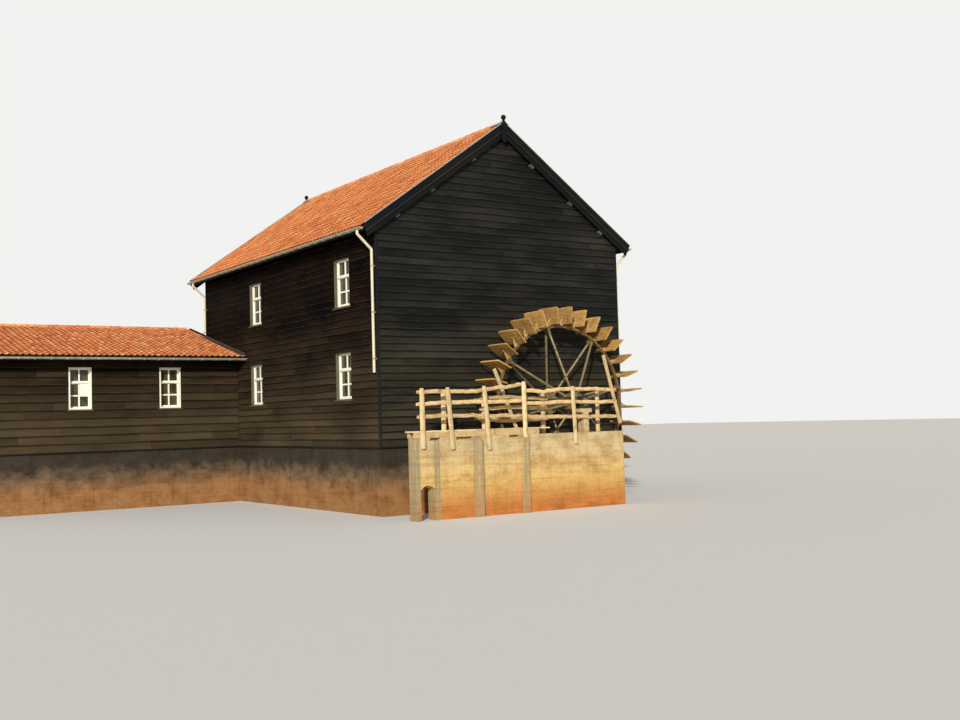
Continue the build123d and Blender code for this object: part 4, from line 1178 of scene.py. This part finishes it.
def lattice(width, height, columns, rows, edge, thick, front):
    """Upright lattice about the origin's x and z, its face at y = front, going back."""
    piece = raw(bpy.ops.mesh.primitive_grid_add, (width, height, 1), x_subdivisions=columns,
                y_subdivisions=rows, size=1, rotation=(math.pi / 2, 0, 0))
    pick(piece, "face")
    bpy.ops.mesh.inset(thickness=edge, depth=0, use_individual=True)
    bpy.ops.mesh.delete(type="FACE")
    push(piece, "face", None, 0, front, 0)
    modify(piece, "SOLIDIFY", thickness=thick, offset=-1)
    bevel(piece, 0.003, 50)
    return piece


def glaze(width, height):
    """Both sashes of one opening, at the origin, their backs to +y."""
    clear_width, clear_height = width - 2 * frame_member, height - 2 * frame_member
    upper = clear_height * transom_share - transom / 2
    lower = clear_height - upper - transom
    top = lattice(clear_width + spare, upper + spare, 2, 1, bar_half, sash_thick, upper_face)
    top.location.z = (clear_height - upper) / 2
    low = lattice(clear_width + spare, lower + spare, 2, 2, bar_half, sash_thick, lower_face)
    low.location.z = (lower - clear_height) / 2
    rail = block((-clear_width / 2, -0.012, -0.034), (clear_width / 2, 0.004, 0.034))
    pick(rail, "face", lambda c: c.y < -0.011)
    bpy.ops.mesh.inset(thickness=0.008, depth=0.006)
    take()
    rail.location.z = clear_height / 2 - upper - transom / 2
    foot = block((-clear_width / 2, 0.012, 0.0), (clear_width / 2, 0.044, 0.045))
    push(foot, "vert", lambda c: c.z > 0.04 and c.y < 0.02, 0, 0.012, 0)
    take()
    foot.location.z = -clear_height / 2
    join((top, low, rail, foot))
    apply_place()
    return top


sash_patterns = [glaze(mill_window_width, height) for height in window_heights]
sash_patterns.append(glaze(annex_window_width, window_heights[0]))
lining_patterns = [lattice(mill_window_width, height, 1, 1, lining_thick, frame_set_in + 0.006,
                           -frame_set_in - 0.004) for height in window_heights]
casing = lattice(annex_window_width, window_heights[0], 1, 1, casing_member,
                 frame_set_in + casing_proud, -frame_set_in - casing_proud)
window_places = []
for side in (-1, 1):
    for y in mill_windows:
        for which, (low, high) in enumerate(mill_window_rows):
            where = Vector((side * (half_mill - frame_set_in), y, (low + high) / 2))
            window_places.append((which, shift(where) @ turned(side * 90, "Z")))
level = sum(annex_window_rows[0]) / 2
for x in annex_windows:
    window_places.append((2, shift((x, annex_front + frame_set_in, level))))
    window_places.append((2, shift((x, annex_rear - frame_set_in, level)) @ turned(180, "Z")))
sashes = lay_copies("window_sashes", sash_patterns, window_places, white_paint)
lay_copies("window_linings", lining_patterns, [p for p in window_places if p[0] < 2], old_white)
lay_copies("annex_window_casings", [casing], [p[1] for p in window_places if p[0] == 2],
           white_paint)
print("windows", len(window_places), "openings,", len(sashes.data.polygons), "faces")

# %% [markdown]
# One pane of the middle annex window is lost, and a white painted board stands in for it.
# It's a plain panel, its rim bevelled, set against the back of the glazing bars.

# %% Boarded pane
pane_width, pane_height, pane_thick = 0.27, 0.40, 0.015
pane_left, pane_face, pane_foot = annex_windows[1] + 0.03, annex_front + frame_set_in + 0.03, 3.972
boarded = block((pane_left, pane_face, pane_foot),
                (pane_left + pane_width, pane_face + pane_thick, pane_foot + pane_height))
pick(boarded, "face", lambda c: c.y < pane_face + 0.001)
bpy.ops.mesh.inset(thickness=0.02, depth=0.003)
settle(boarded, "boarded_pane", white_paint)
print("pane boarded", pane_width, "by", pane_height)

# %% [markdown]
# ** Trim.** The corners are closed by upright boards, the foot of the cladding by a drip
# board over the plinth. On the gables a thin zinc capping runs along the top of the bargeboard
# by the tiles, and a moulding runs along its lower edge. Each is one long member: a cube at
# its place, its arrises taken off by a bevel; the corner and drip boards also have their
# length divided so that they can waver.

# %% Corner, drip and barge trim
corner_proud, corner_wide, drip_proud, waver = 0.028, 0.05, 0.03, 0.002
corner_foot, drip_foot, drip_top = 0.02, 0.045, 0.004


def long_board(low, high, along, cuts=6):
    board = block(low, high)
    length = high[along] - low[along]
    divide(board, along, low[along] + length / 2, cuts)
    for step in range(1, cuts + 1):
        spot = low[along] + length * step / (cuts + 1)
        push(board, "vert", lambda c: abs(c[along] - spot) < 0.01,
             *[random.gauss(0, waver) if i != along else 0 for i in range(3)])
    bevel(board, 0.006, 50)
    return give_tone(board)


corners = []
for x, side, ys, top in ((-half_mill, -1, (mill_front, mill_rear), mill_eave),
                         (half_mill, 1, (mill_front, mill_rear), mill_eave),
                         (annex_left, -1, (annex_front, annex_rear), annex_eave)):
    for y, face in zip(ys, (-1, 1)):
        x0, x1 = sorted((x + side * corner_proud, x - side * corner_wide))
        y0, y1 = sorted((y + face * corner_proud, y - face * corner_wide))
        corners.append(long_board((x0, y0, sill_z - corner_foot), (x1, y1, top), 2))
drip_left, drip_right = -half_mill - drip_proud, half_mill + drip_proud
drips = [long_board((*low, sill_z - drip_foot), (*high, sill_z + drip_top), axis, cuts=10)
         for low, high, axis in (
             ((drip_left, mill_front - drip_proud), (drip_right, mill_front), 0),
             ((drip_left, mill_rear), (drip_right, mill_rear + drip_proud), 0),
             ((drip_left, mill_front), (-half_mill, annex_front), 1),
             ((half_mill, mill_front), (drip_right, mill_rear), 1),
             ((annex_left - drip_proud, annex_front - drip_proud), (drip_left, annex_front), 0),
             ((annex_left - drip_proud, annex_rear), (-half_mill, annex_rear + drip_proud), 0))]
settle(join(corners), "corner_boards", tarred_trim)
settle(join(drips), "drip_boards", tarred_trim)
print("corners", len(corners), "drips", len(drips))

capping_depths, capping_reach = (-0.022, 0.020), 5.12
moulding_depths, moulding_reach = (0.215, 0.250), 5.07


def barge_strip(name, depths, y_low, y_high, reach, finish):
    """A strip along both slopes of a gable, between two depths under the tile line."""
    strips = []
    for side in (-1, 1):
        strip = block((0, y_low, 0), (reach, y_high, 1))
        push(strip, "vert", lambda c: c.z > 0.5, 0, 0, -1 - depths[0] / roof_cos)
        push(strip, "vert", lambda c: c.z > -0.001, 0, 0, -depths[1] / roof_cos)
        push(strip, "vert", lambda c: c.x > reach / 2, 0, 0, -reach * roof_slope)
        push(strip, "vert", None, 0, 0, roof_apex)
        take(strip)
        if side < 0:
            strip.scale.x = -1
            apply_place()
            strip.data.flip_normals()
        bevel(strip, 0.004, 40)
        strips.append(strip)
    settle(join(strips), name, finish)


barge_strip("verge_capping_front", capping_depths, -0.458, -0.385, capping_reach, capping_zinc)
barge_strip("verge_capping_rear", capping_depths, 13.985, 14.058, capping_reach, capping_zinc)
barge_strip("barge_moulding_front", moulding_depths, -0.462, -0.449, moulding_reach, worn_and_lit_trim)
barge_strip("barge_moulding_rear", moulding_depths, 14.049, 14.062, moulding_reach, worn_and_lit_trim)
print("barge strips laid")

# %% [markdown]
# **Finials.** A ball on a turned neck stands on each end of the ridge. It's turned as on a
# lathe: half its outline is drawn by extruding one vertex up the profile, then spun round.

# %% Finials
finial_low, finial_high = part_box("ball_finials")
ball, foot, top = finial_high.x, roof_apex - 0.01, finial_high.z - 0.02
middle = top - ball
profile = [(0.055, foot), (0.060, foot + 0.02), (0.030, foot + 0.045),
           (0.026, middle - ball - 0.035), (0.045, middle - ball - 0.012)]
for degrees in range(28, 180, 19):
    angle = math.radians(degrees)
    profile.append((ball * math.sin(angle), middle - ball * math.cos(angle)))
profile.append((0.0, top))
finial = raw(bpy.ops.mesh.primitive_circle_add, vertices=3, radius=0.001)
pick(finial, "vert")
bpy.ops.mesh.merge(type="CENTER")
bpy.ops.transform.translate(value=(profile[0][0], 0, profile[0][1]))
for (r0, z0), (r1, z1) in zip(profile, profile[1:]):
    draw_out((r1 - r0, 0, z1 - z0))
pick(finial, "vert")
bpy.ops.mesh.spin(steps=16, angle=2 * math.pi, center=(0, 0, 0), axis=(0, 0, 1))
tidy_faces(finial, weld=0.0005)
smooth(finial, 50)
finials = lay_copies("turned_finials", [finial], [
    shift((0, y, 0)) for y in (finial_low.y + ball, finial_high.y - ball)], tarred_trim)
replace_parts(finials, "ball_finials")
print("finials", len(finials.data.polygons), "faces, ball radius", round(ball, 3))

# %% [markdown]
# **Nails.** Every board is held at each stud, near its lower edge, by galvanised clouts. A
# head is a flattened six-sided disc with a chamfered rim. A strip of them at the stud
# spacing is made by an array, and a wall takes one strip a row.

# %% Nails
stud_spacing, nail_radius, nail_height, nail_thick = 0.61, 0.008, 0.034, 0.006
nail_clear, nail_edge, nail_over, first_stud = 0.267, 0.05, 0.04, 0.12


def nail_strip(count):
    nail = raw(bpy.ops.mesh.primitive_cylinder_add, vertices=6, radius=nail_radius,
               depth=nail_thick, rotation=(math.pi / 2, 0, 0))
    pick(nail, "face", lambda c: c.y < -0.0029)
    bpy.ops.transform.resize(value=(0.7, 1, 0.7))
    pick(nail, "face", lambda c: c.y > 0.0029)
    bpy.ops.mesh.delete(type="FACE")
    if count > 1:
        modify(nail, "ARRAY", count=count, use_relative_offset=False, use_constant_offset=True,
               constant_offset_displace=(stud_spacing, 0, 0))
    return nail


def nail_wall(name, corner, along, outward, span, eave, options):
    """Nails wherever there is a board, clear of the openings and of the sawn edge."""
    openings, pitch = options.get("openings", ()), options.get("pitch", board_pitch)
    studs = [span[0] + first_stud + i * stud_spacing
             for i in range(int((span[1] - span[0] - 0.2) / stud_spacing) + 1)]
    runs = []
    for row in range(int((eave - sill_z) / pitch)):
        z = sill_z + row * pitch + nail_height
        run = []
        for stud in studs + [None]:
            if stud is not None and not any(
                    a - nail_edge < stud < b + nail_edge and low - nail_over < z < high
                    for a, b, low, high in openings) and all(
                    normal.dot(along * stud + up * z - point) < -nail_clear
                    for point, normal in options.get("saws", ())):
                run.append(stud)
            elif run:
                runs.append((run[0], len(run), z))
                run = []
    kinds = sorted({count for _, count, _ in runs})
    patterns = [nail_strip(count) for count in kinds]
    places = []
    for start, count, z in runs:
        where = corner + along * start + outward * (board_thick + 0.001) + up * z
        places.append((kinds.index(count), shift(where) @ facing(along, -outward, up)))
    lay_copies(name, patterns, places, nail_zinc)
    print(name, sum(count for _, count, _ in runs), "nails")


nailed = {"gable_boards_front": "nails_gable_front", "gable_boards_rear": "nails_gable_rear",
          "side_boards_left": "nails_side_left", "side_boards_right": "nails_side_right",
          "annex_boards_front": "nails_annex_front", "annex_boards_rear": "nails_annex_rear"}
for boards, *wall in walls:
    if boards in nailed:
        nail_wall(nailed[boards], *wall)

# %% [markdown]
# **Gutter brackets** are bent from flat zinc bar: a half ring under the gutter and a tongue
# up to the tiles. The ring is a small strip spun half a turn about the gutter's line.

# %% Gutter brackets
gutter_x, gutter_z, gutter_lift = 5.2103, 8.4786, 0.075
bracket_radius, bracket_wide, bracket_thick, bracket_arm = 0.0765, 0.032, 0.005, 0.05
bracket_turn = math.radians(156)
bracket_count, annex_bracket_count = 26, 21
bracket_start, brackets_long, annex_brackets_long = -0.25, 14.1, 10.35

# The house side of the pattern is +x, and its gutter runs along y.
bar = block((bracket_radius, -bracket_wide / 2, 0.0),
            (bracket_radius + bracket_thick, bracket_wide / 2, bracket_arm))
pick(bar, "face", lambda c: c.z < 0.0001)
bpy.ops.mesh.spin(steps=8, angle=bracket_turn, center=(0, 0, 0), axis=(0, -1, 0))
tidy_faces(bar, weld=0.0002)
bracket_places = []
for number in range(bracket_count):
    y = bracket_start + number * brackets_long / (bracket_count - 1)
    bracket_places.append(shift((-gutter_x, y, gutter_z)))
    bracket_places.append(shift((gutter_x, y, gutter_z)) @ turned(180, "Z"))
annex_gutter_out = gutter_x - eave_x + annex_eave_out
annex_gutter_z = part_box("gutters")[0].z + gutter_lift
for number in range(annex_bracket_count):
    x = annex_left + number * annex_brackets_long / (annex_bracket_count - 1)
    for face in (-1, 1):
        where = Vector((x, ridge_y + face * annex_gutter_out, annex_gutter_z))
        bracket_places.append(shift(where) @ turned(-face * 90, "Z"))
lay_copies("gutter_brackets", [bar], bracket_places, bright_zinc)
print("brackets", len(bracket_places), "annex gutter", round(annex_gutter_out, 3))

# %% [markdown]
# **Lead flashing** closes the joint where the annex roof dies into the mill's side: a strip
# dressed over the last tiles and turned up the boards, folded from one plane.

# %% Flashing
flashing_rows, flashing_wide, flashing_start, flashing_long = 12, 0.10, 9.72, 3.95
flashing_turn_up, flashing_dent = 0.07, 0.004
flashing = raw(bpy.ops.mesh.primitive_grid_add, (flashing_wide, flashing_long, 1),
               x_subdivisions=2, y_subdivisions=flashing_rows, size=1,
               location=(-half_mill - 0.08, flashing_start + flashing_long / 2, 0))
for row in range(flashing_rows + 1):
    y = flashing_start + flashing_long * row / flashing_rows
    rise = annex_apex - (ridge_y - y) * annex_slope
    push(flashing, "vert", lambda c: abs(c.y - y) < 0.02,
         0, 0, rise + 0.004 + random.uniform(-flashing_dent, flashing_dent))
pick(flashing, "edge", lambda c: c.x > -half_mill - 0.032)
draw_out((0.004, 0, flashing_turn_up))
modify(flashing, "SOLIDIFY", thickness=0.004, offset=1)
smooth(flashing, 30)
settle(flashing, "lead_flashing", lead_cap)
print("flashing", len(flashing.data.polygons), "faces")

# %% [markdown]
# **Mortar** fills the hollows of the pantiles under the ridge tiles. A long strip on each
# side, divided at every tile, is pushed in and out and roughened, as it was thrown in by hand.

# %% Ridge mortar
mortar_size, mortar_rough, mortar_cut = 0.05, 0.008, 0.2
ridge_bed, annex_ridge_bed = (0.155, 0.155), (0.15, 0.125)


def throw_mortar(name, ridge_line, apex, bed, start, end, axis):
    """A strip along each side of a ridge; axis: 0 when the ridge runs along x, 1 along y;
    bed: how far the strips reach out from its line and lie under its apex."""
    half_wide, drop = bed[0], apex - bed[1]
    strips = []
    for side in (-1, 1):
        low, high = [0.0, 0.0, drop], [0.0, 0.0, drop + mortar_size]
        low[axis], high[axis] = start, end
        low[1 - axis], high[1 - axis] = sorted((ridge_line + side * (half_wide - mortar_size),
                                                ridge_line + side * half_wide))
        strip = block(low, high)
        divide(strip, axis, (start + end) / 2, round((end - start) / mortar_cut))
        pick(strip, "vert")
        bpy.ops.transform.vertex_random(offset=mortar_rough, seed=7 + side)
        strips.append(strip)
    settle(join(strips), name, lime_mortar)


throw_mortar("ridge_mortar", 0.0, roof_apex, ridge_bed, *ridge_ends, 1)
throw_mortar("annex_ridge_mortar", ridge_y, annex_apex, annex_ridge_bed, annex_ridge_start,
             -4.70, 0)
print("mortar thrown")

# %% [markdown]
# **Worn arrises.** The corners of the race walls, their beams and the leaning planks are
# rubbed and chipped. Their shapes are right as the frame has them, so each is copied, its
# loose triangles welded and flattened again, and its edges taken off by a bevel. On the walls
# the bevel stays under half the 10 mm between a pier and the gap beside it.

# %% Worn arrises
for node, name, finish, width in (("race_wall", "worn_race_wall", concrete, 0.0045),
                                  ("race_wall_outflow", "worn_outflow", concrete, 0.0045),
                                  ("bearing_pedestal", "worn_pedestal", concrete, 0.010),
                                  ("deck_beams", "worn_deck_beams", edge_beam, 0.007),
                                  ("leaning_planks", "worn_planks", upright_chestnut, 0.006)):
    take(bpy.data.objects[node])
    bpy.ops.object.duplicate()
    worn = bpy.context.object
    apply_place()
    pick(worn, "vert")
    bpy.ops.mesh.remove_doubles(threshold=0.0001)
    bpy.ops.mesh.dissolve_limited(angle_limit=math.radians(1))
    take(worn)
    bpy.ops.object.shade_flat()
    bevel(worn, width, 40, segments=2)
    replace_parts(settle(worn, name, finish), node)
    print(name, len(worn.data.polygons), "faces")

# %% [markdown]
# The stage is a plain pale floor just under the object, which keeps its shadow. Seen by the
# camera, in a reflection or through glass, it and the world show as an even white.

# %% Floor and size
floor_size, floor_drop = 400, 0.002
floor = raw(bpy.ops.mesh.primitive_plane_add, size=floor_size, location=(0, 0, -floor_drop))
floor.name = "studio_floor"
floor_paint = new_material("matt_studio_floor")
fill_in(floor_paint, floor_paint.node_tree.nodes["Principled BSDF"],
        {"Base_Color": "eceae5", "Roughness": 0.9, "Specular_IOR_Level": 0.1})
floor.data.materials.append(floor_paint)
floor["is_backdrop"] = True

visual_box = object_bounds()
for corner, (cad, seen) in zip(("low", "high"), zip(cad_box, visual_box)):
    print(corner, [round(v, 3) for v in cad], [round(v, 3) for v in seen])
